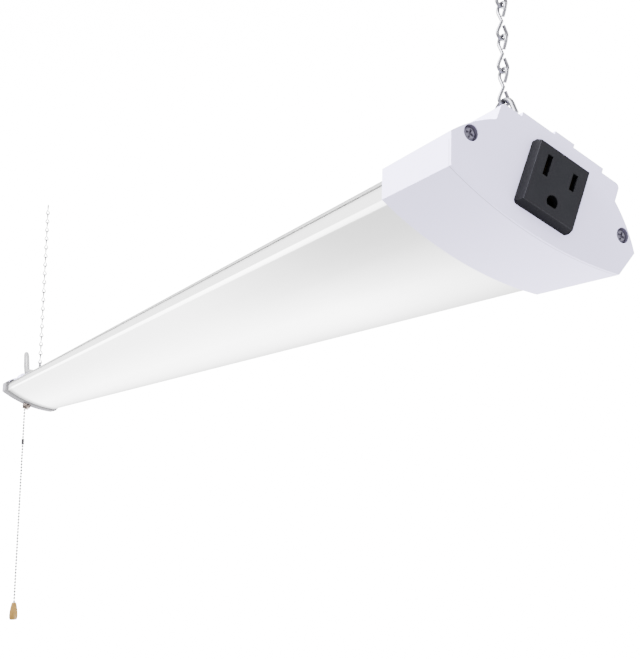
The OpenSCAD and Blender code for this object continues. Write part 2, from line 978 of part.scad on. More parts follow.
// Brass contacts: a pair of leaves for each blade and a sleeve for the ground pin
module outlet_contacts() {
    front = pocket_front - seat_gap;
    back = front - leaf_depth;
    color(brass_colour)
        on_lamp()
            at_outlet_end() {
                for (side = [-1, 1])
                    translate([0, side * blade_span / 2, blade_z]) {
                        both_sides()
                            span([back, leaf_gap / 2, -leaf_tall / 2],
                                [front, leaf_gap / 2 + leaf, leaf_tall / 2]);
                        span([back - leaf, -leaf_gap / 2 - leaf, -leaf_tall / 2],
                            [back, leaf_gap / 2 + leaf, leaf_tall / 2]);
                        span([-outlet_depth - tail_length, -leaf / 2, -leaf_tall / 4],
                            [back - leaf / 2, leaf / 2, leaf_tall / 4]);
                    }
                translate([0, 0, ground_z])
                    rotate([0, 90, 0]) {
                        translate([0, 0, back])
                            difference() {
                                cylinder(d = ground_tube, h = leaf_depth);
                                translate([0, 0, leaf])
                                    cylinder(d = ground_bore, h = leaf_depth);
                            }
                        translate([0, 0, -outlet_depth - tail_length])
                            cylinder(d = leaf_tall / 4, h = back + leaf / 2 + outlet_depth + tail_length);
                    }
            }
}

// Pull switch: body and threaded nipple inside, nut, and a fluted collar below the cap
nose_foot = -collar_height - nose_height;
lead_z = nose_foot - lead_bead_gap - bead_d / 2;

nut_low = bottom_r - sqrt(pow(bottom_r - cap_wall, 2) - pow(nut_d / 2, 2)) + seat_gap;
switch_low = nut_low + nut_thick + seat_gap;

module at_pull_switch() {
    on_lamp()
        at_power_end()
            translate([-ferrule_inset, 0, 0])
                children();
}

module pull_switch() {
    color(black_colour)
        at_pull_switch()
            difference() {
                union() {
                    translate([0, 0, -collar_height + seat_gap])
                        cylinder(d = nipple_d, h = collar_height + switch_low + overrun);
                    translate([-switch_size.x / 2, -switch_size.y / 2, switch_low])
                        cube(switch_size);
                }
                translate([0, 0, -collar_height - overrun])
                    cylinder(d = bore_d, h = collar_height + switch_low);
                cylinder(d = lead_d + 2 * lead_play, h = lead_top + lead_bead_gap);
            }
}

module pull_switch_nut() {
    color(zinc_colour)
        at_pull_switch()
            translate([0, 0, nut_low])
                difference() {
                    cylinder(d = nut_d, h = nut_thick, $fn = 6);
                    translate([0, 0, -overrun])
                        cylinder(d = nipple_d + 2 * screw_fit, h = nut_thick + 2 * overrun);
                }
}

module pull_switch_collar() {
    color(wire_colour)
        at_pull_switch()
            difference() {
                union() {
                    translate([0, 0, -collar_height])
                        cylinder(d = ferrule_d, h = collar_height);
                    translate([0, 0, nose_foot])
                        cylinder(d = nose_d, h = nose_height + seat_gap);
                }
                for (i = [1:flute_count])
                    rotate([0, 0, i * 360 / flute_count])
                        translate([ferrule_d / 2 + flute_d / 4, 0, -collar_height - overrun])
                            cylinder(d = flute_d, h = collar_height + 2 * overrun, $fn = 16);
                translate([0, 0, -collar_height + seat_gap / 2])
                    cylinder(d = nipple_d + 2 * screw_fit, h = collar_height + overrun);
                translate([0, 0, nose_foot - overrun])
                    cylinder(d = nose_d - 2 * nose_wall, h = nose_height + 2 * overrun);
            }
}

// Slide switch for the light colour: body in the end wall, knob on a stem through its slot
module at_selector() {
    on_lamp()
        at_power_end()
            translate([0, -selector_side, selector_height])
                children();
}

module selector_switch() {
    slot = selector_travel + stem_size / 2 + stem_play;
    color(black_colour)
        at_selector()
            difference() {
                union() {
                    span([-cap_face - overrun, -selector_width / 2, -selector_tall / 2],
                        [0, selector_width / 2, selector_tall / 2]);
                    span([-cap_face - seat_gap - selector_depth, -selector_body_side / 2,
                        -selector_tall / 2 - stem_size / 2],
                        [-cap_face - seat_gap, selector_body_side / 2, selector_tall / 2 + stem_size / 2]);
                }
                span([-selector_depth, -stem_size / 2 - stem_play, -slot],
                    [overrun, stem_size / 2 + stem_play, slot]);
            }
}

module selector_knob() {
    color(black_colour)
        at_selector() {
            translate([knob_gap, 0, 0])
                rotate([90, 0, 90])
                    linear_extrude(knob_size.x)
                        round_area([-knob_size.y / 2, -knob_size.z / 2], [knob_size.y / 2, knob_size.z / 2],
                            knob_round);
            span([-selector_depth + overrun, -stem_size / 2, -stem_size / 2],
                [knob_gap + overrun, stem_size / 2, stem_size / 2]);
        }
}

// Cord gland: barrel locked in the end wall, rim, nose and a tapered sleeve
module cord_gland() {
    tip = -cord_route[0].x;
    color(black_colour)
        on_lamp()
            at_power_end()
                translate([0, 0, gland_height])
                    rotate([0, 90, 0]) {
                        translate([0, 0, -gland_inside])
                            cylinder(d = gland_lock, h = gland_inside - cap_face - seat_gap);
                        translate([0, 0, -cap_face - overrun])
                            cylinder(d = gland_hole - 2 * gland_play, h = cap_face + 2 * overrun);
                        translate([0, 0, seat_gap])
                            cylinder(d = gland_d, h = gland_rim - gland_chamfer);
                        translate([0, 0, gland_rim - gland_chamfer])
                            cylinder(d1 = gland_d, d2 = gland_d - 2 * gland_chamfer, h = gland_chamfer);
                        cylinder(d = gland_nose_d, h = gland_rim + gland_nose);
                        translate([0, 0, gland_rim + gland_nose])
                            cylinder(d1 = sleeve_foot, d2 = sleeve_tip, h = tip - gland_rim - gland_nose);
                    }
}

module power_cord() {
    color(cord_colour)
        tube([for (p = cord_route) from_power(p)], cord_d, cord_sides, [0, 0, 1]);
}

module cord_tail() {
    color(cord_colour)
        tube([for (p = tail_route) from_power(p)], cord_d, cord_sides, [0, 0, 1]);
}

// A point of the hank: stretches count runs and folds in turn
function hank_reach(u) = hank_fold + hank_step * abs(u - stretch_count / 2) / 4;
function hank_height(u) =
    hank_high - hank_layer * (1 - cos(180 * min(max(u - climb_stretch, 0), 1))) / 2;
function hank_waist(x) = hank_draw * (1 + cos(180 * x / hank_half)) / 2;
function hank_run(u, x, side) =
    [hank_x + x, hank_y + side * (hank_reach(u) - hank_waist(x)), hank_height(u)];
function hank_turn(u, side, angle) = [
    hank_x + side * (hank_half + hank_reach(u) * sin(angle)), hank_y + side * hank_reach(u) * cos(angle),
    hank_height(u)
];
function hank_at(u) =
    let (stretch = min(floor(u), stretch_count - 1), share = u - stretch, kind = stretch % 4)
    kind == 0 ? hank_run(u, hank_half * (2 * share - 1), 1)
    : kind == 1 ? hank_turn(u, 1, 180 * share)
    : kind == 2 ? hank_run(u, hank_half * (1 - 2 * share), -1)
    : hank_turn(u, -1, 180 * share);
hank_points = [
    for (stretch = [0:stretch_count - 1], i = [0:ring_counts[stretch % 2] - 1])
        hank_at(stretch + i / ring_counts[stretch % 2])
];
hank_path = concat([cord_route[len(cord_route) - 1]], hank_points, [hank_at(stretch_count), tail_route[0]]);
gap_steps = 16;
function hank_gap() =
    let (p = [for (i = [0:gap_steps * stretch_count]) hank_at(i / gap_steps)])
    min([for (i = [0:len(p) - 1], j = [i + gap_steps * 2:1:len(p) - 1]) norm(p[i] - p[j])]) - cord_d;

module cord_hank() {
    echo(least_gap_of_hank = hank_gap());
    color(cord_colour)
        tube([for (p = hank_path) from_power(p)], cord_d, hank_sides, [0, 0, 1]);
}

// Strap round the middle of the hank
module hank_tie() {
    share = tie_width / (4 * hank_half);
    pitch = 2 * hank_half / ring_counts[0];
    waist = hank_waist(0) - (hank_waist(0) - hank_waist(pitch)) * tie_width / (2 * pitch);
    near = hank_y - (hank_reach(5 / 2 - share) - waist) - cord_d / 2 - tie_gap;
    far = hank_y + hank_reach(1 / 2 - share) - waist + cord_d / 2 + tie_gap;
    low = hank_low - cord_d / 2 - tie_gap;
    high = hank_high + cord_d / 2 + tie_gap;
    color(black_colour)
        on_lamp()
            along_x(hank_x - half_length - tie_width / 2, hank_x - half_length + tie_width / 2)
                difference() {
                    round_area([near - tie_sheet, low - tie_sheet], [far + tie_sheet, high + tie_sheet],
                        cord_d / 2 + tie_gap + tie_sheet);
                    round_area([near, low], [far, high], cord_d / 2 + tie_gap);
                }
}

// Plug lying on the back of the housing, blades pointing along the lamp
plug_at = tail_route[len(tail_route) - 1];
plug_face = relief_length + plug_length;

module at_plug() {
    on_lamp()
        translate([plug_at.x - half_length, plug_at.y, plug_at.z])
            rotate([0, 90, 0])
                rotate([0, 0, 180])
                    children();
}

module cord_plug() {
    color(black_colour)
        at_plug()
            difference() {
                union() {
                    cylinder(d1 = relief_tip, d2 = relief_d, h = relief_length);
                    translate([0, 0, relief_length])
                        rotate_extrude()
                            intersection() {
                                round_area([-plug_d / 2, 0], [plug_d / 2, plug_length + plug_round],
                                    plug_round);
                                square([plug_d / 2, plug_length]);
                            }
                }
                for (side = [-1, 1])
                    translate([blade_rise, side * blade_span / 2, plug_face])
                        cube([blade_size.z + 2 * plug_play, blade_size.y + 2 * plug_play, 2 * pocket_in],
                            center = true);
                translate([blade_rise - ground_drop, 0, plug_face - pocket_in])
                    cylinder(d = pin_d + 2 * plug_play, h = 2 * pocket_in);
            }
}

module plug_blades() {
    foot = plug_face - pocket_in + seat_gap;
    color(brass_colour)
        at_plug() {
            for (side = [-1, 1])
                translate([blade_rise - blade_size.z / 2, side * blade_span / 2 - blade_size.y / 2, foot])
                    cube([blade_size.z, blade_size.y, blade_size.x + pocket_in]);
            translate([blade_rise - ground_drop, 0, foot])
                cylinder(d = pin_d, h = pin_length + pocket_in - pin_d / 2);
            translate([blade_rise - ground_drop, 0, foot + pin_length + pocket_in - pin_d / 2])
                sphere(d = pin_d);
        }
}

// Wire in the plane of X and Z: a straight stretch, set a little into the arcs, and an arc
module wire_bar(a, b, d) {
    translate([a.x, 0, a.y])
        rotate([0, atan2(b.x - a.x, b.y - a.y), 0])
            translate([0, 0, -bar_in])
                cylinder(d = d - 2 * bar_step, h = norm(b - a) + 2 * bar_in);
}

module wire_arc(middle, r, from, to, d) {
    translate([middle.x, 0, middle.y])
        rotate([90, 0, 0])
            rotate([0, 0, from])
                rotate_extrude(angle = to - from)
                    translate([r, 0])
                        circle(d = d);
}

module hook() {
    eye_start = [eye_start_x, eye_z - hook_eye * sin(hook_lean)];
    mouth = [hook_eye * cos(hook_mouth_angle), eye_z + hook_eye * sin(hook_mouth_angle)];
    tail = mouth + hook_tail * [sin(hook_mouth_angle), -cos(hook_mouth_angle)];
    wire_bar([-leg_x, hook_corner], [-leg_x, hook_tip], hook_wire);
    wire_arc([-hook_flat, hook_corner], hook_corner, 180, 270, hook_wire);
    wire_bar([-hook_flat, 0], [hook_flat, 0], hook_wire);
    wire_arc([hook_flat, hook_corner], hook_corner, 270, 360, hook_wire);
    wire_bar([leg_x, hook_corner], [leg_x, hook_leg], hook_wire);
    wire_arc([leg_x - hook_bend, hook_leg], hook_bend, 0, hook_lean, hook_wire);
    wire_bar(bend_end, eye_start, hook_wire);
    wire_arc([0, eye_z], hook_eye, hook_mouth_angle, 180 + hook_lean, hook_wire);
    wire_bar(mouth, tail, hook_wire);
}

module hook_near() {
    color(wire_colour)
        translate([0, 0, -hang_drop])
            hook();
}

module hook_far() {
    color(wire_colour)
        translate([far_x, 0, -hang_drop])
            mirror([1, 0, 0])
                hook();
}

// Jack chain link: one wire, its upper loop across Y and its lower loop across X
loop_z = waist_drop - loop_r;
half_link = concat(
    [[wire_end * sin(leg_angle), wire_end * cos(leg_angle)]],
    [
        for (j = [0:arc_steps])
            let (a = (180 + 2 * leg_angle) * j / arc_steps - leg_angle)
                [loop_r * cos(a), loop_z + loop_r * sin(a)]
    ]
);

module link(k) {
    waist = link_z(k) - waist_drop;
    tube(concat([for (q = half_link) [q.x, 0, waist + q.y]], [[0, 0, waist]],
        [for (j = [arc_steps + 1:-1:0]) [0, half_link[j].x, waist - half_link[j].y]]),
        link_wire, link_sides, [0, 1, 0]);
}

module ceiling_link_near() {
    color(zinc_colour)
        link(0);
}

module ceiling_link_far() {
    color(zinc_colour)
        translate([far_x, 0, 0])
            link(0);
}

module chain_near() {
    color(zinc_colour)
        for (k = [1:link_count - 1])
            link(k);
}

module chain_far() {
    color(zinc_colour)
        translate([far_x, 0, 0])
            for (k = [1:link_count - 1])
                link(k);
}

// Pull chain: the lead slides in the switch, the rest hangs plumb from its bead
module bead_string(top, first, last, foot) {
    strand = strand_d / 2;
    pole = sqrt(pow(bead_d / 2, 2) - pow(strand, 2));
    half = bead_d / 2 / sqrt(2);
    rotate_extrude($fn = bead_sides)
        polygon(concat(
            [[0, top], [strand, top]],
            [
                for (k = [first:last])
                    each [
                        [strand, pole - k * bead_pitch], [half, half - k * bead_pitch],
                        [bead_d / 2, -k * bead_pitch], [half, -half - k * bead_pitch],
                        [strand, -pole - k * bead_pitch]
                    ]
            ],
            [[strand, foot], [0, foot]]
        ));
}

lead_point = hung([ferrule_inset - half_length, 0, lead_z]);
last_upper = upper_bead_count + 1;
last_lower = last_upper + 1 + lower_bead_count;
connector_z = -(last_upper + 1 / 2) * bead_pitch;
bell_head = -last_lower * bead_pitch - bead_d / 2 - bell_play;
stop_z = bell_head - bell_height + bell_cavity_depth - bead_d / 2 - bell_play;

module at_lead_bead() {
    translate(lead_point)
        children();
}

module pull_lead() {
    color(zinc_colour)
        at_pull_switch() {
            translate([0, 0, lead_z])
                sphere(d = bead_d, $fn = 12);
            translate([0, 0, lead_z])
                cylinder(d = lead_d, h = lead_top - lead_z);
        }
}

module pull_chain_upper() {
    color(zinc_colour)
        at_lead_bead()
            bead_string(-bead_d / 2 - chain_start, 1, last_upper, -last_upper * bead_pitch - bead_d / 2);
}

module pull_connector() {
    inner = connector_d / 2 - connector_wall;
    half = connector_length / 2;
    outer = connector_d / 2;
    neck = connector_neck / 2;
    side = [
        [inner, half - connector_end], [neck, half - connector_end], [neck, half],
        [neck + connector_end, half], [outer, half - connector_end]
    ];
    color(zinc_colour)
        at_lead_bead()
            translate([0, 0, connector_z])
                rotate_extrude()
                    polygon(concat(side, [for (i = [len(side) - 1:-1:0]) [side[i].x, -side[i].y]]));
}

module pull_chain_lower() {
    color(zinc_colour)
        at_lead_bead() {
            bead_string(-(last_upper + 1) * bead_pitch + bead_d / 2, last_upper + 1, last_lower,
                stop_z);
            translate([0, 0, stop_z])
                sphere(d = bead_d, $fn = 8);
        }
}

module pull_bell() {
    color(wood_colour)
        at_lead_bead()
            translate([0, 0, bell_head])
                difference() {
                    rotate_extrude()
                        polygon(concat([[0, 0]], [
                            for (s = bell_shares)
                                [s.x * bell_width / 2, -s.y * bell_height]
                        ], [[0, -bell_height]]));
                    translate([0, 0, -bell_height - overrun])
                        cylinder(d = bell_bore, h = bell_height + 2 * overrun);
                    translate([0, 0, -bell_height - overrun])
                        cylinder(d = bell_cavity, h = bell_cavity_depth + overrun);
                }
}

ceiling_link_near();
ceiling_link_far();
chain_near();
hook_near();
housing();
lens();
tray();
led_board();
leds();
driver();
driver_screws();
wiring();
end_plate_outlet();
end_plate_power();
outlet_cap();
power_cap();
outlet_cap_screws();
power_cap_screws();
outlet();
outlet_contacts();
pull_switch();
pull_switch_nut();
pull_switch_collar();
selector_switch();
cord_gland();
power_cord();
cord_hank();
hank_tie();
cord_tail();
cord_plug();
plug_blades();
hook_far();
chain_far();
pull_lead();
pull_chain_upper();
pull_connector();
pull_chain_lower();
pull_bell();
selector_knob();
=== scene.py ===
import json
import math

import bmesh
import bpy
import numpy as np
from mathutils import Matrix, Vector


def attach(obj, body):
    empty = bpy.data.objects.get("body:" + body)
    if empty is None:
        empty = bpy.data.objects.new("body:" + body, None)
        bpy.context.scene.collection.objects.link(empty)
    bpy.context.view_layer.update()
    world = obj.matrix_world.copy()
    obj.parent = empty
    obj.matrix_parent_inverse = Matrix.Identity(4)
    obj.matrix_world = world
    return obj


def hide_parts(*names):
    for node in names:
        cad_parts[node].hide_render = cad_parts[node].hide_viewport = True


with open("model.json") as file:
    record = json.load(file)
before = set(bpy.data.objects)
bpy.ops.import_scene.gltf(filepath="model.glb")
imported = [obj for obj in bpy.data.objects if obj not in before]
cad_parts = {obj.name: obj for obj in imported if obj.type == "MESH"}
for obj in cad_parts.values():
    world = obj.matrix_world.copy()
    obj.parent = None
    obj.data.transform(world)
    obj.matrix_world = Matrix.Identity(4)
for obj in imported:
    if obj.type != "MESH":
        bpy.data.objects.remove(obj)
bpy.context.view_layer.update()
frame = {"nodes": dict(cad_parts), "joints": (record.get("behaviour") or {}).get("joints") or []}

nodes = frame["nodes"]

# Studio camera: low beside the outlet end, looking along the lamp towards the power end.
# The picture is 640 by 659 pixels, and the lens is worked out on its long side.

camera_place = (0.26584, -0.21778, -0.40183)
camera_azimuth = 153.233
camera_rise = 8.3135
camera_roll = 0.304
camera_focus_px = 862.7
picture_long_side_px = 659

camera = bpy.data.objects.new("camera", bpy.data.cameras.new("camera"))
bpy.context.scene.collection.objects.link(camera)
bpy.context.scene.camera = camera
camera.data.lens = camera_focus_px / picture_long_side_px * camera.data.sensor_width
camera.data.clip_start = 0.02
camera.data.clip_end = 60.0
camera.matrix_world = (
    Matrix.Translation(camera_place)
    @ Matrix.Rotation(math.radians(camera_azimuth - 90.0), 4, "Z")
    @ Matrix.Rotation(math.radians(90.0 + camera_rise), 4, "X")
    @ Matrix.Rotation(math.radians(camera_roll), 4, "Z")
)

# Studio light: an even white surround, a large key light high on the lens side, which makes
# the upper facets the brightest, and weak lights behind, below and off the outlet end.

surround = bpy.data.worlds.new("surround")
surround.use_nodes = True
surround_light = surround.node_tree.nodes["Background"]
surround_light.inputs["Color"].default_value = (1.0, 1.0, 1.0, 1.0)
surround_light.inputs["Strength"].default_value = 2.0
bpy.context.scene.world = surround
lamp_middle = (-0.58, 0.0, -0.31)


def soft_light(name, place, size, watts):
    """A square area light at place that faces the middle of the lamp."""
    light = bpy.data.objects.new(name, bpy.data.lights.new(name, "AREA"))
    light.data.size = size
    light.data.energy = watts
    light.location = place
    light.rotation_mode = "QUATERNION"
    light.rotation_quaternion = (Vector(place) - Vector(lamp_middle)).to_track_quat("Z", "Y")
    bpy.context.scene.collection.objects.link(light)


soft_light("key_light", (-0.5, -2.1, 1.8), 2.2, 860.0)
soft_light("back_light", (-0.8, 2.2, 1.0), 2.0, 160.0)
soft_light("low_light", (-0.2, 1.5, -1.7), 1.0, 200.0)
soft_light("end_light", (3.0, 0.6, -0.6), 1.6, 55.0)

# Floor: a pale sheet far below the lamp, bent up all round into a backdrop. It is a lit studio
# table and no part of the lamp; it glows for the camera and doesn't tint the lamp. It is the
# first thing here with a material, so the two classes that make every material come with it.


class Shade:
    """A socket's value. Python's operators on it add the Math nodes that work it out."""

    def __init__(self, finish, socket):
        self.finish = finish
        self.socket = socket

    def worked(self, operation, first, second=0.0):
        return self.finish.node("Math", {"operation": operation}, {0: first, 1: second})["Value"]

    def __add__(self, other):
        return self.worked("ADD", self, other)

    __radd__ = __add__

    def __sub__(self, other):
        return self.worked("SUBTRACT", self, other)

    def __rsub__(self, other):
        return self.worked("SUBTRACT", other, self)

    def __mul__(self, other):
        return self.worked("MULTIPLY", self, other)

    __rmul__ = __mul__

    def __truediv__(self, other):
        return self.worked("DIVIDE", self, other)

    def __pow__(self, other):
        return self.worked("POWER", self, other)

    def __gt__(self, other):
        return self.worked("GREATER_THAN", self, other)

    def __lt__(self, other):
        return self.worked("LESS_THAN", self, other)

    def __abs__(self):
        return self.worked("ABSOLUTE", self)

    def sine(self):
        return self.worked("SINE", self)


class Finish:
    """A material: its Principled shader, and one method that adds any other node."""

    def __init__(self, name, **values):
        self.material = bpy.data.materials.new(name)
        self.material.use_nodes = True
        self.tree = self.material.node_tree
        self.shader = self.tree.nodes["Principled BSDF"]
        self.give(self.shader, {key.replace("_", " ").title(): v for key, v in values.items()})

    def give(self, node, sockets):
        """Sets or links each named or numbered input socket of a node."""
        for key, value in sockets.items():
            socket = node.inputs[key]
            if isinstance(value, Shade):
                self.tree.links.new(value.socket, socket)
            elif socket.type == "RGBA" and len(value) == 3:
                socket.default_value = (*value, 1.0)
            else:
                socket.default_value = value

    def node(self, kind, settings=None, sockets=None):
        """Adds a node, sets it up, then its sockets, and returns its outputs by name."""
        node = self.tree.nodes.new("ShaderNode" + kind)
        for key, value in (settings or {}).items():
            if key == "stops":
                ramp = node.color_ramp.elements
                while len(ramp) < len(value):
                    ramp.new(1.0)
                for element, (place, colour) in zip(ramp, value):
                    element.position = place
                    element.color = (*colour, 1.0)
            else:
                setattr(node, key, value)
        self.give(node, sockets or {})
        return {out.name: Shade(self, out) for out in node.outputs if out.enabled}

    def place(self, turn=(0.0, 0.0, 0.0), middle=(0.0, 0.0, 0.0), stretch=(1.0, 1.0, 1.0)):
        """Object coordinates on axes turned about X, Y and Z that start at middle, each divided
        by its stretch."""
        sockets = {
            "Vector": self.node("TexCoord")["Object"], "Location": middle, "Scale": stretch,
            "Rotation": [math.radians(a) for a in turn],
        }
        return self.node("Mapping", {"vector_type": "TEXTURE"}, sockets)["Vector"]

    def split(self, vector):
        """The X, Y and Z of a vector."""
        parts = self.node("SeparateXYZ", None, {"Vector": vector})
        return parts["X"], parts["Y"], parts["Z"]

    def noise(self, vector, scale, detail=3.0, rough=0.55):
        """Noise from 0 to 1; scale is in waves a metre."""
        sockets = {"Vector": vector, "Scale": scale, "Detail": detail, "Roughness": rough}
        return self.node("TexNoise", None, sockets)["Fac"]

    def rise(self, value, start, stop, top=1.0, foot=0.0, easing="LINEAR"):
        """Foot where the value is at start, top where it is at stop, and between them in between."""
        sockets = {"Value": value, "From Min": start, "From Max": stop, "To Min": foot, "To Max": top}
        return self.node("MapRange", {"interpolation_type": easing}, sockets)["Result"]

    def mix(self, share, first, second):
        """A colour between first and second."""
        sockets = {0: share, 6: first, 7: second}
        return self.node("Mix", {"data_type": "RGBA"}, sockets)["Result"]

    def colour(self, value):
        self.give(self.shader, {"Base Color": value})

    def roughness(self, value):
        self.give(self.shader, {"Roughness": value})

    def bump(self, height, depth, strength=1.0):
        """Raises the surface by height times depth, in metres."""
        sockets = {"Height": height, "Distance": depth, "Strength": strength}
        normal = self.node("Bump", None, sockets)["Normal"]
        self.give(self.shader, {"Normal": normal})


floor_height = -1.35
floor_reach = 7.0
floor_bend = 2.0
floor_curl = 0.25


def studio_paper():
    """A dish on a grid of rings: its middle is flat, and past floor_bend it rises by floor_curl
    times the square of the distance from there."""
    rings = np.linspace(0.02, 1.0, 40)[:, None] * floor_reach
    angle = np.linspace(0.0, 2.0 * np.pi, 73)[None, :-1]
    rise = np.clip(rings - floor_bend, 0.0, None) ** 2 * floor_curl
    x, y = lamp_middle[0] + rings * np.cos(angle), rings * np.sin(angle)
    return np.stack([x, y, floor_height + rise + 0 * angle], axis=-1)


def grid_faces(rings, sides, start=0):
    """Quads between neighbouring rings of points; each ring's last point joins its first."""
    index = start + np.arange(rings * sides).reshape(rings, sides)
    after = np.roll(index, -1, axis=1)
    return np.stack([index[:-1], after[:-1], after[1:], index[1:]], axis=-1).reshape(-1, 4)


def made_object(name, corners, faces, finish, smooth_angle=40.0):
    """A mesh object from points and faces: points that coincide are joined, its faces point
    outward, and it is smooth where faces meet at less than the angle."""
    mesh = bpy.data.meshes.new(name)
    mesh.from_pydata(corners.reshape(-1, 3).tolist(), [], faces)
    work = bmesh.new()
    work.from_mesh(mesh)
    bmesh.ops.remove_doubles(work, verts=work.verts, dist=1e-7)
    bmesh.ops.recalc_face_normals(work, faces=work.faces)
    work.to_mesh(mesh)
    work.free()
    mesh.polygons.foreach_set("use_smooth", np.ones(len(mesh.polygons), bool))
    mesh.set_sharp_from_angle(angle=math.radians(smooth_angle))
    mesh.materials.append(finish.material)
    piece = bpy.data.objects.new(name, mesh)
    bpy.context.scene.collection.objects.link(piece)
    return piece


paper = Finish("studio_paper", base_color=(0.93, 0.93, 0.94), roughness=0.9, emission_strength=14.0)
paper.give(paper.shader, {"Emission Color": (1.0, 1.0, 1.0)})
paper_grain = paper.noise(paper.place(), 900.0)
paper.bump(paper_grain, 0.0002, 0.3)
paper_grid = studio_paper()
paper_faces = grid_faces(*paper_grid.shape[:2]).tolist()
paper_faces.append(list(range(paper_grid.shape[1]))[::-1])
floor = made_object("floor", paper_grid, paper_faces, paper)
floor.visible_diffuse = floor.visible_glossy = floor.visible_shadow = False

# Power cord: a 7 mm mains cord in a grey vinyl jacket. It leaves the gland, goes up and over
# the cap's end into a tied hank on the lamp's back, and on to its plug, as one curve.

tilt_degrees = 22.0
lamp_tilt = math.radians(tilt_degrees)
lamp_length = 1.22
axis_height = 0.03895
roll_axis = next(j for j in frame["joints"] if j["name"] == "lamp_roll")["pos_m"]
outlet_end = 0.033
power_end = outlet_end - lamp_length


def hung(points):
    """Points of the level lamp, as row X, sideways and up from its lowest line, where it hangs."""
    points = np.asarray(points, float)
    side, up = points[..., 1], points[..., 2] - axis_height
    turned = [
        points[..., 0], side * math.cos(lamp_tilt) + up * math.sin(lamp_tilt),
        roll_axis[2] - side * math.sin(lamp_tilt) + up * math.cos(lamp_tilt),
    ]
    return np.stack(turned, axis=-1)


def from_power_end(points):
    """Points given inward from the power end, sideways and up, in metres, where they hang."""
    points = np.asarray(points, float)
    return hung(points + [power_end, 0.0, 0.0])


cord_thickness = 0.007

# The route inward from the power end, sideways and up: to the hank, then on from it
cord_route = [
    (-0.014, 0, 0.0285), (-0.021, 0, 0.0285), (-0.0315, -0.001, 0.0305), (-0.041, -0.0045, 0.036),
    (-0.0475, -0.0095, 0.044), (-0.050, -0.015, 0.054), (-0.048, -0.0205, 0.0635), (-0.0415, -0.025, 0.0715),
    (-0.032, -0.029, 0.077), (-0.021, -0.031, 0.0785), (-0.010, -0.031, 0.076), (-0.0005, -0.029, 0.070),
    (0.0055, -0.026, 0.062), (0.0115, -0.023, 0.054), (0.0205, -0.0215, 0.048), (0.032, -0.021, 0.046),
    (0.046, -0.0205, 0.0455), (0.062, -0.0145, 0.045), (0.077, -0.003, 0.045), (0.091, 0.011, 0.0455),
    (0.105, 0.026, 0.0465), (0.119, 0.0395, 0.0475), (0.134, 0.0485, 0.048), (0.147, 0.0505, 0.048),
    (0.155, 0.0505, 0.048),
]
tail_route = [
    (0.285, 0.0505, 0.0405), (0.293, 0.0505, 0.0405), (0.307, 0.048, 0.0415), (0.322, 0.039, 0.0445),
    (0.336, 0.028, 0.0475), (0.350, 0.020, 0.0485), (0.364, 0.0175, 0.0485), (0.372, 0.0175, 0.0485),
]
hank_stretches = 13
hank_x, hank_y = 0.220, 0.017
hank_half = 0.057
hank_outer, hank_fold = 0.0335, 0.021
hank_step = 8 * (hank_outer - hank_fold) / hank_stretches
hank_draw = 0.008
hank_high, hank_layer, climb_stretch = 0.048, 0.0075, 6


def hank_line(steps=20):
    """The hank's middle line: runs and folds in turn about a reach that shrinks, then grows again.

    The reach is the fold's radius plus a step for each four stretches away from the middle. A run
    is drawn in at its waist by a raised cosine, and one run drops a layer by half a cosine wave.
    """
    u = np.linspace(0.0, hank_stretches, hank_stretches * steps + 1)
    stretch = np.minimum(np.floor(u), hank_stretches - 1)
    share = u - stretch
    kind = stretch % 4
    side = np.where(kind < 1.5, 1.0, -1.0)
    reach = hank_fold + hank_step * abs(u - hank_stretches / 2) / 4
    drop = np.clip(u - climb_stretch, 0.0, 1.0)
    height = hank_high - hank_layer * (1 - np.cos(np.pi * drop)) / 2
    along = side * hank_half * (2 * share - 1)
    waist = hank_draw * (1 + np.cos(np.pi * along / hank_half)) / 2
    run = np.stack([along, side * (reach - waist)], axis=-1)
    turn = np.stack(
        [side * (hank_half + reach * np.sin(np.pi * share)), side * reach * np.cos(np.pi * share)], axis=-1
    )
    flat = np.where((kind % 2 == 0)[:, None], run, turn)
    return np.stack([hank_x + flat[:, 0], hank_y + flat[:, 1], height], axis=-1)


def smooth_line(points, steps=8):
    """A Catmull-Rom curve through the points, spaced by the root of their distance."""
    points = np.asarray(points, float)
    ends = np.vstack([2 * points[0] - points[1], points, 2 * points[-1] - points[-2]])
    gaps = np.linalg.norm(np.diff(ends, axis=0), axis=1) ** 0.5
    knots = np.concatenate([[0.0], np.cumsum(gaps)])
    a, b, c, d = ends[:-3], ends[1:-2], ends[2:-1], ends[3:]
    ka, kb, kc, kd = (k[:, None, None] for k in (knots[:-3], knots[1:-2], knots[2:-1], knots[3:]))
    a, b, c, d = (p[:, None, :] for p in (a, b, c, d))
    t = kb + (kc - kb) * np.linspace(0.0, 1.0, steps + 1)[None, :-1, None]
    ab = ((kb - t) * a + (t - ka) * b) / (kb - ka)
    bc = ((kc - t) * b + (t - kb) * c) / (kc - kb)
    cd = ((kd - t) * c + (t - kc) * d) / (kd - kc)
    abc = ((kc - t) * ab + (t - ka) * bc) / (kc - ka)
    bcd = ((kd - t) * bc + (t - kb) * cd) / (kd - kb)
    line = ((kc - t) * abc + (t - kb) * bcd) / (kc - kb)
    return np.vstack([line.reshape(-1, points.shape[1]), points[-1:]])


cord_jacket = Finish("cord_jacket", roughness=0.42)
jacket_noise = cord_jacket.noise(cord_jacket.place(), 160.0)
cord_jacket.colour(cord_jacket.mix(jacket_noise, (0.135, 0.135, 0.138), (0.170, 0.170, 0.174)))
cord_jacket.roughness(0.36 + 0.14 * jacket_noise)
cord_jacket.bump(cord_jacket.noise(cord_jacket.place(), 2600.0), 0.00006, 0.5)

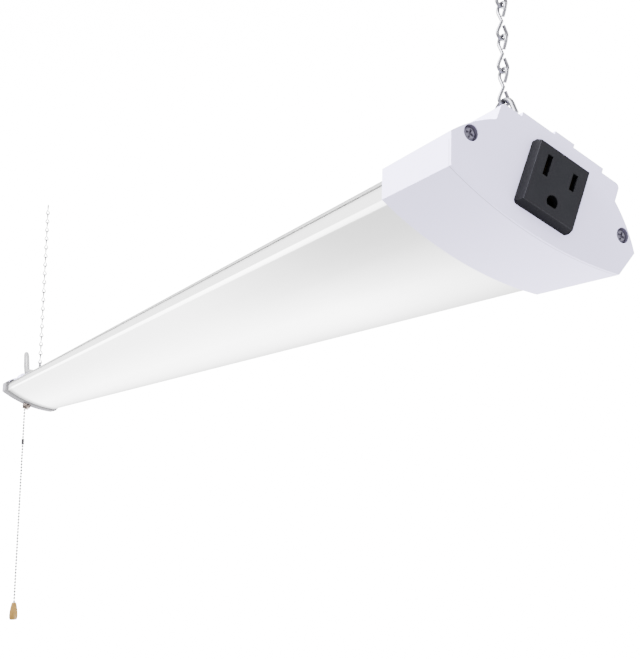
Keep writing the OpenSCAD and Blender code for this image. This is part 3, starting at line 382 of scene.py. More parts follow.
cord_line = from_power_end(np.vstack([smooth_line(cord_route), hank_line(), smooth_line(tail_route)]))
cord_curve = bpy.data.curves.new("power_cord_line", "CURVE")
cord_curve.dimensions = "3D"
cord_curve.bevel_depth = cord_thickness / 2
cord_curve.bevel_resolution = 4
cord_curve.use_fill_caps = True
cord_spline = cord_curve.splines.new("POLY")
cord_spline.points.add(len(cord_line) - 1)
cord_spline.points.foreach_set("co", np.hstack([cord_line, np.ones((len(cord_line), 1))]).ravel())
cord_spline.use_smooth = True
cord_curve.materials.append(cord_jacket.material)
power_cord = bpy.data.objects.new("cord_in_one_piece", cord_curve)
bpy.context.scene.collection.objects.link(power_cord)
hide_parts("power_cord", "cord_hank", "cord_tail")
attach(power_cord, "lamp")

# Caps: moulded shells of satin white plastic with a lavender cast, one on each end. Their
# edges are softly rounded, and each slides over the body and is held by two screws. Painted
# shade darkens the wells round the screw heads, a hairline at the foot of the outlet's cap,
# and the far cap's low side, which is painted grey.

cap_length = 0.046
cap_plastic = Finish("cap_plastic", roughness=0.42)


def level_place(finish, x=0.0):
    """Object coordinates turned back to the level lamp: Z is the height over the roll axis."""
    return finish.place(turn=(-tilt_degrees, 0.0, 0.0), middle=(x, 0.0, roll_axis[2]))


cap_place = level_place(cap_plastic)
cap_x, cap_y, cap_z = cap_plastic.split(cap_place)
cap_mottle = cap_plastic.noise(cap_place, 38.0, 4.0)
near_white = cap_plastic.mix(cap_mottle, (0.705, 0.665, 0.97), (0.735, 0.695, 1.0))
# A dark lavender for painted shade in the screw wells and along the hairline.
painted_shade_lavender = (0.16, 0.145, 0.21)

# The painted shade's tone goes inward from the power end; it leaves out the end face.
shade_stops = [(0.10, (0.175, 0.165, 0.212)), (0.6, (0.165, 0.158, 0.185)), (0.92, (0.09, 0.088, 0.095))]
shade_from, shade_full, end_face = -0.0188, -0.0212, 0.0015
far_shade = cap_plastic.node(
    "ValToRGB", {"stops": shade_stops}, {"Fac": (cap_x - power_end) / cap_length}
)["Color"]
low_side = cap_plastic.rise(cap_z, shade_from, shade_full)
in_shade = low_side * (cap_x < lamp_middle[0]) * (cap_x > power_end + end_face)
cap_tone = cap_plastic.mix(in_shade, near_white, far_shade)

# A hairline of painted shade runs round the foot of the outlet's cap, just behind its end face.
edge_line_in, edge_line_half, edge_line_top, edge_shade_share = 0.0012, 0.00022, -0.0245, 0.5
on_shaded_edge = (abs(cap_x - outlet_end + edge_line_in) < edge_line_half) * (cap_z < edge_line_top)
edge_shaded_tone = cap_plastic.mix(on_shaded_edge * edge_shade_share, cap_tone, painted_shade_lavender)
# Painted shade: the wells round the screw heads are dark inside.
screw_y, screw_z, well_radius, well_lip = 0.0377, 0.0208 - axis_height, 0.0033, 0.0003
from_screw = ((abs(cap_y) - screw_y) ** 2.0 + (cap_z - screw_z) ** 2.0) ** 0.5
well_shade = (from_screw < well_radius) * (cap_x < outlet_end - well_lip)
cap_plastic.colour(cap_plastic.mix(well_shade, edge_shaded_tone, painted_shade_lavender))
cap_plastic.roughness(0.36 + 0.12 * cap_plastic.noise(cap_place, 420.0))
cap_plastic.bump(cap_plastic.noise(cap_place, 3200.0, 2.0), 0.00005, 0.4)


def eased_copy(node, name, finish, width, steps=2):
    """A copy of a CAD node with its loose triangles joined and its sharp edges rounded by width."""
    mesh = nodes[node].data.copy()
    mesh.name = name
    work = bmesh.new()
    work.from_mesh(mesh)
    bmesh.ops.remove_doubles(work, verts=work.verts, dist=1e-6)
    bmesh.ops.dissolve_limit(work, angle_limit=math.radians(0.4), verts=work.verts, edges=work.edges)
    work.to_mesh(mesh)
    work.free()
    mesh.materials.clear()
    mesh.materials.append(finish.material)
    mesh.polygons.foreach_set("use_smooth", np.ones(len(mesh.polygons), bool))
    piece = bpy.data.objects.new(name, mesh)
    bpy.context.scene.collection.objects.link(piece)
    ease = piece.modifiers.new("eased_edges", "BEVEL")
    ease.width = width
    ease.segments = steps
    ease.limit_method = "ANGLE"
    ease.angle_limit = math.radians(32.0)
    ease.use_clamp_overlap = True
    flat = piece.modifiers.new("flat_faces", "WEIGHTED_NORMAL")
    flat.weight = 100
    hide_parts(node)
    return piece


for cap_node in ("outlet_cap", "power_cap"):
    cap = eased_copy(cap_node, cap_node + "_moulding", cap_plastic, 0.0009, 4)
    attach(cap, "lamp")

# Housing, tray and end plates: rolled steel sheet with a light grey powder coat, which is a
# little uneven, like fine orange peel. Along the fold above each long facet runs a dark line
# of painted shadow, darkest by the far cap.

powder_coat = Finish("powder_coat", roughness=0.45)
coat_place = level_place(powder_coat)
coat_x, _, coat_z = powder_coat.split(coat_place)
coat_grey = powder_coat.mix(powder_coat.noise(coat_place, 22.0), (0.47, 0.47, 0.47), (0.53, 0.53, 0.53))
fold_height = 0.017 - axis_height
fold_reach, fold_core = 0.0042, 0.0008
shadow_deepens_from, shadow_deepens_to, fold_shadow_share, fold_shadow_share_by_cap = -0.98, -1.13, 0.6, 0.98
# Painted shadow: a near-black line along the fold, deepest by the far cap.
fold_shadow_band = powder_coat.rise(abs(coat_z - fold_height), fold_reach, fold_core)
fold_shadow_by_far_cap = powder_coat.rise(coat_x, shadow_deepens_from, shadow_deepens_to, fold_shadow_share_by_cap, fold_shadow_share)
powder_coat.colour(powder_coat.mix(fold_shadow_band * fold_shadow_by_far_cap, coat_grey, (0.01, 0.01, 0.01)))
powder_coat.roughness(0.38 + 0.14 * powder_coat.noise(coat_place, 300.0))
powder_coat.bump(powder_coat.noise(coat_place, 1500.0, 2.0), 0.00008, 0.5)


def dress(node, finish):
    """Gives a CAD node a finish."""
    for slot in nodes[node].material_slots:
        slot.material = finish.material


for sheet_node in ("housing", "tray", "end_plate_outlet", "end_plate_power"):
    dress(sheet_node, powder_coat)

# Lens: one curved strip of frosted white acrylic that snaps into the side rails. The light
# behind it is strongest along the middle and falls off towards the rails. Painted on that glow
# are a highlight along the side wall by one rail, shade along the other rail, shade over most
# of the width near the outlet cap, and shade next to both caps.

lens_glow = 7.0
lens_reach = 0.040
near_rim, far_rim = outlet_end - cap_length, power_end + cap_length
frosted = Finish("frosted_acrylic", roughness=0.5, emission_strength=lens_glow)
lens_x, lens_y, _ = frosted.split(level_place(frosted))


def glow_and_painted_light_across(*stops):
    """The glow with its painted highlight and shade, from one rail to the other, from its places and grey
    levels.
    """
    ramp = {"stops": [(place, (level,) * 3) for place, level in stops]}
    return frosted.node("ValToRGB", ramp, {"Fac": lens_y * (0.5 / lens_reach) + 0.5})["Color"]


# Painted light across the lens: a highlight on the side wall by the first rail and shade towards the other;
# by the outlet cap, painted shade over most of the width.
glow_and_painted_light_by_cap = glow_and_painted_light_across(
    (0.03, 0.90), (0.042, 0.12), (0.20, 0.17), (0.30, 0.25), (0.40, 0.44), (0.50, 0.62), (0.59, 0.83),
    (0.68, 0.89), (0.78, 0.76), (0.87, 0.50), (0.95, 0.22))
glow_and_painted_light_beyond = glow_and_painted_light_across(
    (0.03, 0.90), (0.042, 0.58), (0.20, 0.60), (0.36, 0.70), (0.60, 0.87), (0.74, 0.77), (0.87, 0.50),
    (0.95, 0.22))
cap_glow_end, open_glow_start = -0.02, -0.32
past_cap = frosted.rise(lens_x, cap_glow_end, open_glow_start, easing="SMOOTHSTEP")
lens_glow_and_painted_light = frosted.mix(past_cap, glow_and_painted_light_by_cap, glow_and_painted_light_beyond)
# Painted shade next to both caps, with a dark hairline of it on the lens along the outlet cap's rim.
near_rim_shade_reach, near_rim_shade = 0.11, 0.5
far_rim_shade_from, far_rim_shade_to, far_rim_shade = 0.043, 0.013, 0.93
rim_line, rim_line_shade = 0.0012, 0.25
painted_rim_shade = (
    frosted.rise(lens_x, far_rim + far_rim_shade_from, far_rim + far_rim_shade_to, far_rim_shade)
    + frosted.rise(lens_x, near_rim - near_rim_shade_reach, near_rim, near_rim_shade)
    + (lens_x > near_rim - rim_line) * rim_line_shade
)
frosted.give(frosted.shader, {"Emission Color": frosted.mix(painted_rim_shade, lens_glow_and_painted_light, (0.03, 0.03, 0.03))})
frost = frosted.noise(frosted.place(), 900.0, 2.0)
frosted.colour(frosted.mix(frost, (0.43, 0.43, 0.43), (0.47, 0.47, 0.47)))
frosted.roughness(0.42 + 0.12 * frost)
frosted.bump(frost, 0.00003, 0.4)
dress("lens", frosted)

# Light board: two rows of small packages topped with yellow phosphor, soldered to a white
# strip of circuit board under the tray.

board_coat = Finish("board_coat", roughness=0.35)
board_mottle = board_coat.noise(board_coat.place(), 60.0)
board_coat.colour(board_coat.mix(board_mottle, (0.78, 0.79, 0.78), (0.84, 0.85, 0.84)))
board_coat.bump(board_coat.noise(board_coat.place(), 1100.0), 0.00004, 0.4)
dress("led_board", board_coat)
phosphor = Finish("phosphor", roughness=0.4, emission_strength=1.2)
phosphor_noise = phosphor.noise(phosphor.place(), 2500.0)
phosphor.colour(phosphor.mix(phosphor_noise, (0.80, 0.62, 0.16), (0.88, 0.72, 0.24)))
phosphor.give(
    phosphor.shader, {"Emission Color": phosphor.mix(phosphor_noise, (1.0, 0.93, 0.76), (1.0, 0.97, 0.86))}
)
dress("leds", phosphor)

# Driver: the power supply, in a closed case of white plastic with softly rounded edges. Two
# screws through the flange at each end hold it down on the tray.

case_plastic = Finish("case_plastic", roughness=0.5)
case_noise = case_plastic.noise(case_plastic.place(), 45.0)
case_plastic.colour(case_plastic.mix(case_noise, (0.76, 0.76, 0.75), (0.81, 0.81, 0.80)))
case_plastic.roughness(0.44 + 0.12 * case_plastic.noise(case_plastic.place(), 700.0))
case_plastic.bump(case_plastic.noise(case_plastic.place(), 2400.0), 0.00005, 0.5)
driver_case = eased_copy("driver", "driver_case", case_plastic, 0.0004)
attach(driver_case, "lamp")

# Screws and nut: zinc-plated steel, the cap screws with round heads and a cross slot. The
# plating is faintly cloudy, with a fine grain.

zinc_plate = Finish("zinc_plate", metallic=0.25, roughness=0.65)
zinc_place = zinc_plate.place()
zinc_cloud = zinc_plate.noise(zinc_place, 260.0, 4.0)
# The plating's tone is painted dark lavender, as shade in the cap's screw wells; the driver screws and the
# nut share it.
zinc_plate.colour(zinc_plate.mix(zinc_cloud, (0.105, 0.098, 0.135), (0.135, 0.126, 0.170)))
zinc_plate.roughness(0.52 + 0.2 * zinc_plate.noise(zinc_place, 1400.0))
zinc_plate.bump(zinc_plate.noise(zinc_place, 5200.0), 0.00002, 0.5)
for screw_node in ("outlet_cap_screws", "power_cap_screws"):
    screws = eased_copy(screw_node, screw_node + "_plated", zinc_plate, 0.00012)
    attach(screws, "lamp")
for plated_node in ("driver_screws", "pull_switch_nut"):
    dress(plated_node, zinc_plate)

# Outlet: a charcoal block of moulded nylon with a fine spark texture. Its front is painted
# paler as lit, and its sides, bevels and slot walls darker as shaded. It snaps into the end
# wall of the cap by a sprung wing on each side.

outlet_proud, front_skin = 0.0041, 0.0003
outlet_nylon = Finish("outlet_nylon", roughness=0.6)
outlet_nylon.give(outlet_nylon.shader, {"Specular IOR Level": 0.06})
nylon_place = outlet_nylon.place()
nylon_cloud = outlet_nylon.noise(nylon_place, 120.0)
# Painted light and shade: the front is lit paler; the sides, bevels and slot walls are shaded darker.
nylon_sides_shaded = outlet_nylon.mix(nylon_cloud, (0.0030, 0.0030, 0.0042), (0.0048, 0.0048, 0.0065))
nylon_front_lit = outlet_nylon.mix(nylon_cloud, (0.0105, 0.0105, 0.0130), (0.0145, 0.0145, 0.0180))
on_lit_front = outlet_nylon.split(nylon_place)[0] > outlet_end + outlet_proud - front_skin
outlet_nylon.colour(outlet_nylon.mix(on_lit_front, nylon_sides_shaded, nylon_front_lit))
outlet_nylon.roughness(0.55 + 0.14 * outlet_nylon.noise(nylon_place, 900.0))
outlet_nylon.bump(outlet_nylon.noise(nylon_place, 4200.0), 0.00005, 0.6)
outlet_block = eased_copy("outlet", "outlet_block", outlet_nylon, 0.0004, 3)
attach(outlet_block, "lamp")

# Contacts: folded strips of brass behind the blade slots and a brass sleeve behind the ground
# hole. Each sits in its own pocket of the outlet block. Their brass is painted near black, as
# shade deep in the slots.


def brass_finish(name, dull, bright):
    """Rolled brass with a cloudy tarnish between two tones and fine drawing marks."""
    brass = Finish(name, metallic=1.0, roughness=0.3)
    brass.colour(brass.mix(brass.noise(brass.place(), 300.0), dull, bright))
    brass.roughness(0.24 + 0.2 * brass.noise(brass.place(), 1800.0))
    brass.bump(brass.noise(brass.place(), 3600.0), 0.00002, 0.5)
    return brass


# Painted shade: the contacts' brass is near black, as seen deep in the slots.
dress("outlet_contacts", brass_finish("tarnished_brass", (0.030, 0.022, 0.010), (0.055, 0.040, 0.018)))

# Hooks: drawn steel wire bent into a flat-bottomed loop, a slanting shank and an open eye.
# The loop passes under the bridge in a cap's back, and the chain's last link is in the eye.

hook_wire, hook_sides = 0.0024, 20
far_hang_x = 2 * outlet_end - lamp_length
hook_flat, hook_corner = 0.004, 0.0035
hook_leg, hook_bend, hook_lean = 0.009, 0.006, math.radians(55.0)
hook_eye, hook_mouth, hook_tail, hook_tip = 0.0055, math.radians(25.0), 0.005, 0.0085
hook_steel = Finish("hook_steel", metallic=0.95, roughness=0.32)
steel_place = hook_steel.place()
steel_cloud = hook_steel.noise(steel_place, 340.0, 4.0)
hook_steel.colour(hook_steel.mix(steel_cloud, (0.075, 0.075, 0.085), (0.125, 0.125, 0.14)))
hook_steel.roughness(0.26 + 0.2 * hook_steel.noise(steel_place, 1500.0))
hook_steel.bump(hook_steel.noise(steel_place, 4200.0), 0.00003, 0.5)


def arc(middle, radius, start, stop, steps):
    """Points of a circle's arc in a plane: middle plus radius times the cosine and sine."""
    angle = np.linspace(start, stop, steps)
    return np.stack([middle[0] + radius * np.cos(angle), middle[1] + radius * np.sin(angle)], axis=-1)


def hook_line():
    """The hook's middle line, sideways and up from its flat, as straight stretches and arcs."""
    leg = hook_flat + hook_corner
    bend_middle = np.array([leg - hook_bend, hook_leg])
    bend_end = bend_middle + hook_bend * np.array([math.cos(hook_lean), math.sin(hook_lean)])
    reach = (bend_end[0] + hook_eye * math.cos(hook_lean)) / math.sin(hook_lean)
    eye = np.array([0.0, bend_end[1] + reach * math.cos(hook_lean) + hook_eye * math.sin(hook_lean)])
    mouth = eye + hook_eye * np.array([math.cos(hook_mouth), math.sin(hook_mouth)])
    tail = mouth + hook_tail * np.array([math.sin(hook_mouth), -math.cos(hook_mouth)])
    return np.vstack([
        [(-leg, hook_tip)],
        arc((-hook_flat, hook_corner), hook_corner, np.pi, 1.5 * np.pi, 9),
        arc((hook_flat, hook_corner), hook_corner, 1.5 * np.pi, 2.0 * np.pi, 9),
        arc(bend_middle, hook_bend, 0.0, hook_lean, 9),
        arc(eye, hook_eye, np.pi + hook_lean, hook_mouth, 28),
        [tail],
    ])


def swept(line, radius, sides, reference):
    """A round bar along a line. Each ring stands on the line's own direction; its first spoke
    is the reference with that direction's share taken out. Two narrower rings ease each end."""
    line = np.asarray(line, float)
    ahead = np.gradient(line, axis=0)
    ahead /= np.linalg.norm(ahead, axis=1, keepdims=True)
    ease = radius * 0.25
    line = np.vstack([line[:1] - ease * ahead[:1], line, line[-1:] + ease * ahead[-1:]])
    ahead = np.vstack([ahead[:1], ahead, ahead[-1:]])
    thick = np.full((len(line), 1, 1), radius)
    thick[[0, -1]] = radius - ease
    spoke = np.asarray(reference, float) - (ahead @ np.asarray(reference, float))[:, None] * ahead
    spoke /= np.linalg.norm(spoke, axis=1, keepdims=True)
    cross = np.cross(ahead, spoke)
    angle = np.linspace(0.0, 2.0 * np.pi, sides, endpoint=False)[None, :, None]
    return line[:, None] + thick * (np.cos(angle) * spoke[:, None] + np.sin(angle) * cross[:, None])


def swept_faces(rings, sides, start=0):
    """The quads between a bar's rings and one face across each end."""
    first, last = start, start + (rings - 1) * sides
    ends = [list(range(first, first + sides))[::-1], list(range(last, last + sides))]
    return grid_faces(rings, sides, start).tolist() + ends


hook_path = hook_line()
for hook_node, hook_x, hook_way, hook_body in (
    ("hook_near", 0.0, 1.0, "near_hook"), ("hook_far", far_hang_x, -1.0, "far_hook")
):
    hook_points = np.stack(
        [hook_x + hook_way * hook_path[:, 0], 0 * hook_path[:, 0], roll_axis[2] + hook_path[:, 1]], axis=-1
    )
    hook_bar = swept(hook_points, hook_wire / 2, hook_sides, (0.0, 1.0, 0.0))
    hook_faces = swept_faces(len(hook_bar), hook_sides)
    hook = made_object(hook_node + "_wire", hook_bar, hook_faces, hook_steel)
    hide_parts(hook_node)
    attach(hook, hook_body)

# Chains: jack chain, each link one piece of zinc-plated wire bent into two loops at right
# angles with a waist between. The top link of each hangs on a ceiling hook. The far chain's
# zinc is painted near black, as shade at the far end.

link_pitch, link_width, link_wire, link_gap = 0.0144, 0.0064, 0.0015, 0.00012
link_zinc = Finish("link_zinc", metallic=0.95, roughness=0.34)
link_cloud = link_zinc.noise(link_zinc.place(), 320.0, 4.0)
near_zinc = link_zinc.mix(link_cloud, (0.11, 0.11, 0.125), (0.19, 0.19, 0.21))
# Painted shade: the far chain's copy of the zinc is near black.
far_zinc_shaded = link_zinc.mix(link_cloud, (0.012, 0.012, 0.016), (0.030, 0.030, 0.036))
in_far_end_shade = link_zinc.split(link_zinc.place())[0] < lamp_middle[0]
link_zinc.colour(link_zinc.mix(in_far_end_shade, near_zinc, far_zinc_shaded))
link_zinc.roughness(0.28 + 0.16 * link_zinc.noise(link_zinc.place(), 1500.0))
link_zinc.bump(link_zinc.noise(link_zinc.place(), 4400.0), 0.00002, 0.5)
link_count = 18
loop_radius = (link_width - link_wire) / 2
waist_drop = (link_pitch + link_wire + link_gap) / 2
leg_angle = math.asin(loop_radius / (waist_drop - loop_radius))
link_sides = 12
wire_end = 1.3 * link_wire


def link_line():
    """A link's middle line about its waist. The upper loop is an arc in X and Z that goes past half
    a circle by leg_angle at each end, and its legs run straight from the waist; the lower loop is
    the same one upside down, in Y and Z."""
    turn = np.linspace(-leg_angle, np.pi + leg_angle, 19)
    loop = np.stack(
        [loop_radius * np.cos(turn), waist_drop - loop_radius + loop_radius * np.sin(turn)], axis=-1
    )
    loop = np.vstack([[(wire_end * math.sin(leg_angle), wire_end * math.cos(leg_angle))], loop])
    upper = np.stack([loop[:, 0], 0 * loop[:, 0], loop[:, 1]], axis=-1)
    lower = np.stack([0 * loop[:, 0], loop[:, 0], -loop[:, 1]], axis=-1)[::-1]
    return np.vstack([upper, [(0.0, 0.0, 0.0)], lower])


link_bar = swept(link_line(), link_wire / 2, link_sides, (1.0, 1.0, 0.0))


def chain_of(name, node, numbers, x, body):
    """Links of the given numbers, each a pitch below the one before, as one piece."""
    heights = link_wire / 2 - np.asarray(numbers) * link_pitch - waist_drop
    places = np.stack([np.full(len(heights), x), 0 * heights, heights], axis=-1)
    points = link_bar[None] + places[:, None, None, :]
    rings = len(link_bar)
    faces = [f for k in range(len(numbers)) for f in swept_faces(rings, link_sides, k * rings * link_sides)]
    chain = made_object(name, points, faces, link_zinc)
    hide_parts(node)
    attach(chain, body)


for end_name, end_x, end_body in (("near", 0.0, "near_chain"), ("far", far_hang_x, "far_chain")):
    chain_of("top_link_" + end_name, "ceiling_link_" + end_name, [0], end_x, "ceiling")
    chain_of("jack_chain_" + end_name, "chain_" + end_name, range(1, link_count), end_x, end_body)

# Pull switch: a black switch on the floor of the cap, its threaded nose through the wall, and
# a fluted nickel collar that screws on from below and guides the bead chain.

switch_black = Finish("switch_black", roughness=0.45)
black_noise = switch_black.noise(switch_black.place(), 90.0)
switch_black.colour(switch_black.mix(black_noise, (0.016, 0.016, 0.019), (0.028, 0.028, 0.033)))
switch_black.roughness(0.38 + 0.16 * switch_black.noise(switch_black.place(), 800.0))
switch_black.bump(switch_black.noise(switch_black.place(), 3000.0), 0.00005, 0.6)
dress("pull_switch", switch_black)
collar_x = power_end + 0.024
collar_sides, collar_height, collar_radius, collar_bore = 240, 0.0052, 0.0063, 0.00475
nose_radius, nose_bore, nose_height = 0.0049, 0.0035, 0.003
flute_count, flute_depth = 20, 0.00025
nickel = Finish("nickel", metallic=1.0, roughness=0.25)
nickel_cloud = nickel.noise(nickel.place(), 420.0)
nickel.colour(nickel.mix(nickel_cloud, (0.05, 0.040, 0.036), (0.15, 0.125, 0.115)))
nickel.roughness(0.2 + 0.2 * nickel.noise(nickel.place(), 1600.0))
nickel.bump(nickel.noise(nickel.place(), 4800.0), 0.00002, 0.4)


def turned(profile, sides, at=(0.0, 0.0, 0.0), axis=(0.0, 0.0, 1.0)):
    """A profile of radius and height carried round an axis in X and Z: at, plus height times the
    axis, plus radius times a spoke that goes round it."""
    profile, axis = np.asarray(profile, float), np.asarray(axis, float)
    first = np.cross(axis, (0.0, 1.0, 0.0))
    first /= np.linalg.norm(first)
    angle = np.linspace(0.0, 2.0 * np.pi, sides, endpoint=False)[:, None]
    spokes = np.cos(angle) * first + np.sin(angle) * np.cross(axis, first)
    return np.asarray(at) + profile[:, None, 1:] * axis + profile[:, None, :1] * spokes


def turned_faces(rings, sides):
    """The quads of a turned profile that comes back to its first point."""
    index = np.arange(rings * sides).reshape(rings, sides)
    after, below = np.roll(index, -1, axis=1), np.roll(index, -1, axis=0)
    corner = np.roll(below, -1, axis=1)
    return np.stack([index, after, corner, below], axis=-1).reshape(-1, 4).tolist()


# Radius and height under the cap's floor: down the collar and its nose, and back up the bore
collar_profile = [
    (collar_bore, -0.00002), (collar_radius - 0.0004, -0.00002), (collar_radius - 0.0001, -0.0001),
    (collar_radius, -0.0004), (collar_radius, -0.0048), (collar_radius - 0.0001, -0.0051),
    (collar_radius - 0.0004, -0.0052), (nose_radius + 0.0001, -0.0052), (nose_radius, -0.0053),
    (nose_radius, -0.0079), (nose_radius - 0.0002, -0.0082), (nose_bore + 0.0002, -0.0082),
    (nose_bore, -0.0080), (nose_bore, -0.00518), (collar_bore, -0.00518),
]
collar_grid = turned(collar_profile, collar_sides)

# The flutes go by the cube of a raised cosine, full on the collar's side and less at its rims.
flutes = 0.5 + 0.5 * np.cos(np.linspace(0.0, 2.0 * np.pi, collar_sides, endpoint=False) * flute_count)
side_rings, rim_rings, rim_share = [3, 4], [2, 5], 0.7
fluted = np.zeros(len(collar_profile))
fluted[side_rings] = 1.0
fluted[rim_rings] = rim_share
shrink = 1 - flute_depth / collar_radius * fluted[:, None] * flutes**3
collar_grid = hung(collar_grid * np.stack([shrink, shrink, 1 + 0 * shrink], axis=-1) + [collar_x, 0.0, 0.0])
collar = made_object("fluted_collar", collar_grid, turned_faces(*collar_grid.shape[:2]), nickel, 50.0)
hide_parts("pull_switch_collar")
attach(collar, "lamp")

# Pull chain: nickel beads on a short strand, a bell-shaped connector, more beads, and a turned
# wooden bell at the end. It hangs plumb from the bead at the collar.

bead_radius, bead_pitch, strand_radius = 0.0017, 0.0047, 0.00045
upper_beads, lower_beads = 9, 51
lead_gap, strand_gap, bell_gap = 0.0004, 0.00015, 0.0001
bead_steel = Finish("bead_steel", metallic=1.0, roughness=0.25)
bead_cloud = bead_steel.noise(bead_steel.place(), 500.0)
bead_steel.colour(bead_steel.mix(bead_cloud, (0.035, 0.035, 0.037), (0.07, 0.07, 0.073)))
bead_steel.roughness(0.2 + 0.2 * bead_steel.noise(bead_steel.place(), 1700.0))
bead_steel.bump(bead_steel.noise(bead_steel.place(), 4600.0), 0.00002, 0.4)
lead_bead = hung((collar_x, 0.0, -collar_height - nose_height - lead_gap - bead_radius))
last_upper = upper_beads + 1
last_lower = last_upper + 1 + lower_beads
bell_height, bell_radius, bell_cavity = 0.025, 0.0063, 0.009
bell_top = -last_lower * bead_pitch - bead_radius - bell_gap
stop_bead = bell_top - bell_height + bell_cavity - bead_radius - bell_gap


def beads(name, node, drops, top):
    """Beads at the given heights on one strand that starts at top: half a circle for each, from
    pole to pole, carried round the strand."""
    open_angle = math.asin(strand_radius / bead_radius)
    turn = np.linspace(open_angle, np.pi - open_angle, 9)
    ball = bead_radius * np.stack([np.sin(turn), np.cos(turn)], axis=-1)
    places = np.stack([0 * drops, drops], axis=-1)
    foot = drops[-1] - bead_radius
    ends = [(strand_radius, foot), (0.0, foot)]
    profile = np.vstack([[(0.0, top), (strand_radius, top)], (ball + places[:, None]).reshape(-1, 2), ends])
    grid = turned(profile, 14, lead_bead)
    chain = made_object(name, grid, grid_faces(*grid.shape[:2]).tolist(), bead_steel, 60.0)
    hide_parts(node)
    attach(chain, "pull_chain")


dress("pull_lead", bead_steel)
upper_drops = -bead_pitch * np.arange(1, last_upper + 1)
beads("beads_above", "pull_chain_upper", upper_drops, -bead_radius - strand_gap)
lower_drops = -bead_pitch * np.arange(last_upper + 1, last_lower + 1)
beads("beads_below", "pull_chain_lower", np.append(lower_drops, stop_bead), lower_drops[0] + bead_radius)
coupling = eased_copy("pull_connector", "bell_coupling", bead_steel, 0.0002)
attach(coupling, "pull_chain")

# Bell: a small turned pull of light wood, bored for the strand, with a hollow below that
# hides the last bead. The grain runs along it and a thin lacquer keeps a low shine.

# The bell's side, as shares of its radius and of its height, from the top down
bell_shares = [
    (0.46, 0.0), (0.56, 0.03), (0.8, 0.3), (0.97, 0.62), (1.0, 0.76), (0.97, 0.88), (0.86, 0.98), (0.8, 1.0),
]
bell_side = smooth_line(bell_shares, 5) * [bell_radius, -bell_height]
bell_bore, bell_hollow = 0.0008, 0.0023
hollow_top = bell_cavity - bell_height
bell_inside = [(bell_hollow, -bell_height), (bell_hollow, hollow_top), (bell_bore, hollow_top)]
bell_profile = np.vstack([[(bell_bore, 0.0)], bell_side, bell_inside])
bell_grid = turned(bell_profile, 48, lead_bead + [0.0, 0.0, bell_top])
wood = Finish("turned_wood", roughness=0.5, coat_weight=0.06)
wood.give(wood.shader, {"Specular IOR Level": 0.25})
grain_stretch = 14.0
grain_place = wood.place(middle=tuple(lead_bead), stretch=(1.0, 1.0, grain_stretch))
grain = wood.noise(grain_place, 1900.0, 5.0, 0.6)
wood_tones = [(0.3, (0.072, 0.036, 0.0050)), (0.5, (0.113, 0.062, 0.0088)), (0.72, (0.145, 0.085, 0.0150))]
wood.colour(wood.node("ValToRGB", {"stops": wood_tones}, {"Fac": grain})["Color"])
wood.roughness(0.36 + 0.2 * grain)
wood.bump(grain, 0.00006, 0.6)
bell = made_object("turned_bell", bell_grid, turned_faces(*bell_grid.shape[:2]), wood, 50.0)
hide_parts("pull_bell")
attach(bell, "pull_chain")

# Cord gland: a black rubber bush locked in the end wall. Its nose narrows to a ringed sleeve.

gland_height = 0.0285
rubber = Finish("soft_rubber", roughness=0.6)
rubber_noise = rubber.noise(rubber.place(), 150.0)
rubber.colour(rubber.mix(rubber_noise, (0.018, 0.018, 0.021), (0.033, 0.033, 0.038)))
rubber.roughness(0.52 + 0.2 * rubber.noise(rubber.place(), 1100.0))
rubber.bump(rubber.noise(rubber.place(), 3600.0), 0.00005, 0.5)


def ringed(start, stop, foot, tip, count, depth):
    """A sleeve's side from foot to tip radius, with count grooves of a raised cosine."""
    share = np.linspace(0.0, 1.0, 10 * count + 1)
    radius = foot + (tip - foot) * share - depth * (0.5 - 0.5 * np.cos(2.0 * np.pi * count * share))
    return np.stack([radius, start + (stop - start) * share], axis=-1)


# Radius and way out of the end wall: the lock inside, the neck, the flange, the nose, the sleeve
gland_profile = np.vstack([
    [(0.0, -0.007), (0.0083, -0.007), (0.0087, -0.0066), (0.0087, -0.0027), (0.0085, -0.00246)],
    [(0.0079, -0.00245), (0.0079, 0.00006), (0.0092, 0.00006), (0.0095, 0.0004), (0.0095, 0.0016)],
    [(0.0092, 0.0021), (0.0087, 0.0024), (0.0068, 0.0024), (0.0067, 0.0026), (0.0067, 0.0083)],
    [(0.0063, 0.0089), (0.0057, 0.0089)],
    ringed(0.009, 0.0139, 0.0057, 0.0047, 3, 0.0005),
    [(0.0045, 0.014), (0.0, 0.014)],
])
gland_at = (power_end, 0.0, gland_height)
gland_grid = hung(turned(gland_profile, 64, gland_at, (-1.0, 0.0, 0.0)))
gland = made_object("cord_bush", gland_grid, grid_faces(*gland_grid.shape[:2]).tolist(), rubber, 45.0)
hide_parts("cord_gland")
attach(gland, "lamp")

# Light colour switch: a black slide switch in the end wall, whose knob has fine ridges for
# the thumb and slides up and down between three places.

ridge_pitch = 0.0015
knob_plastic = Finish("knob_plastic", roughness=0.4)
_, _, knob_up = knob_plastic.split(level_place(knob_plastic, power_end))
knob_noise = knob_plastic.noise(knob_plastic.place(), 500.0)
knob_plastic.colour(knob_plastic.mix(knob_noise, (0.014, 0.014, 0.017), (0.026, 0.026, 0.030)))
knob_plastic.roughness(0.32 + 0.16 * knob_noise)
knob_plastic.bump((knob_up * (2.0 * math.pi / ridge_pitch)).sine(), 0.0003, 0.8)
dress("selector_switch", switch_black)
knob = eased_copy("selector_knob", "ridged_knob", knob_plastic, 0.0004, 3)
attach(knob, "selector")

# Plug: moulded black vinyl round the cord's end, with a tapered relief behind it, two flat
# blades and a round ground pin of brass.

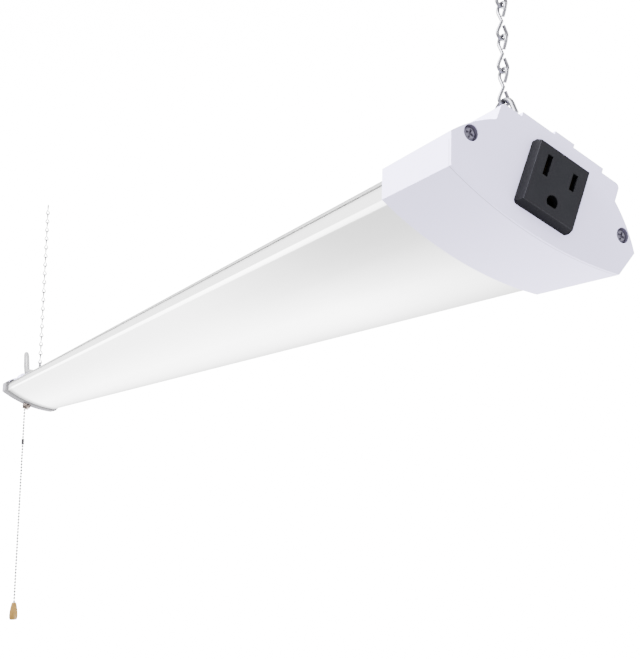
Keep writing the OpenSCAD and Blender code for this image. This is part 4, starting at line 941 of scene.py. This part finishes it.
grip_pitch = 0.004
vinyl = Finish("plug_vinyl", roughness=0.5)
vinyl_x, _, _ = vinyl.split(vinyl.place(middle=(power_end + tail_route[-1][0], 0.0, 0.0)))
vinyl_noise = vinyl.noise(vinyl.place(), 130.0)
vinyl.colour(vinyl.mix(vinyl_noise, (0.020, 0.020, 0.023), (0.034, 0.034, 0.038)))
vinyl.roughness(0.44 + 0.16 * vinyl.noise(vinyl.place(), 900.0))
vinyl.bump((vinyl_x * (2.0 * math.pi / grip_pitch)).sine() * 0.7 + 0.3 * vinyl_noise, 0.0006, 0.7)
plug = eased_copy("cord_plug", "moulded_plug", vinyl, 0.0006, 3)
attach(plug, "lamp")
blade_brass = brass_finish("blade_brass", (0.56, 0.41, 0.18), (0.70, 0.53, 0.26))
blades = eased_copy("plug_blades", "blades_and_pin", blade_brass, 0.0002)
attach(blades, "lamp")

# Hank tie: a strap of black woven nylon with hooks and loops, wrapped once round the middle
# of the folded cord and closed on itself.

weave = 5200.0
strap = Finish("woven_strap", roughness=0.8)
strap_x, strap_y, strap_z = strap.split(strap.place(turn=(-tilt_degrees, 0.0, 0.0)))
strap_noise = strap.noise(strap.place(), 700.0)
strap.colour(strap.mix(strap_noise, (0.018, 0.018, 0.020), (0.040, 0.040, 0.044)))
strap.roughness(0.75 + 0.15 * strap_noise)
strap_weave = (strap_x * weave).sine() * (strap_y * weave + strap_z * weave).sine()
strap.bump(strap_weave + strap_noise, 0.0001, 0.6)
tie = eased_copy("hank_tie", "hook_and_loop_tie", strap, 0.0003)
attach(tie, "lamp")
tuple(float(v) for v in from_power_end((-0.014, 0.0, gland_height)))

# Wiring: three single-core wires in plain jackets, from the gland along the tray to the back
# of the outlet.

wire_jacket = Finish("wire_jacket", roughness=0.4)
wire_noise = wire_jacket.noise(wire_jacket.place(), 90.0)
wire_jacket.colour(wire_jacket.mix(wire_noise, (0.68, 0.68, 0.68), (0.76, 0.76, 0.75)))
wire_jacket.roughness(0.34 + 0.16 * wire_noise)
wire_jacket.bump(wire_jacket.noise(wire_jacket.place(), 2400.0), 0.00004, 0.5)
dress("wiring", wire_jacket)
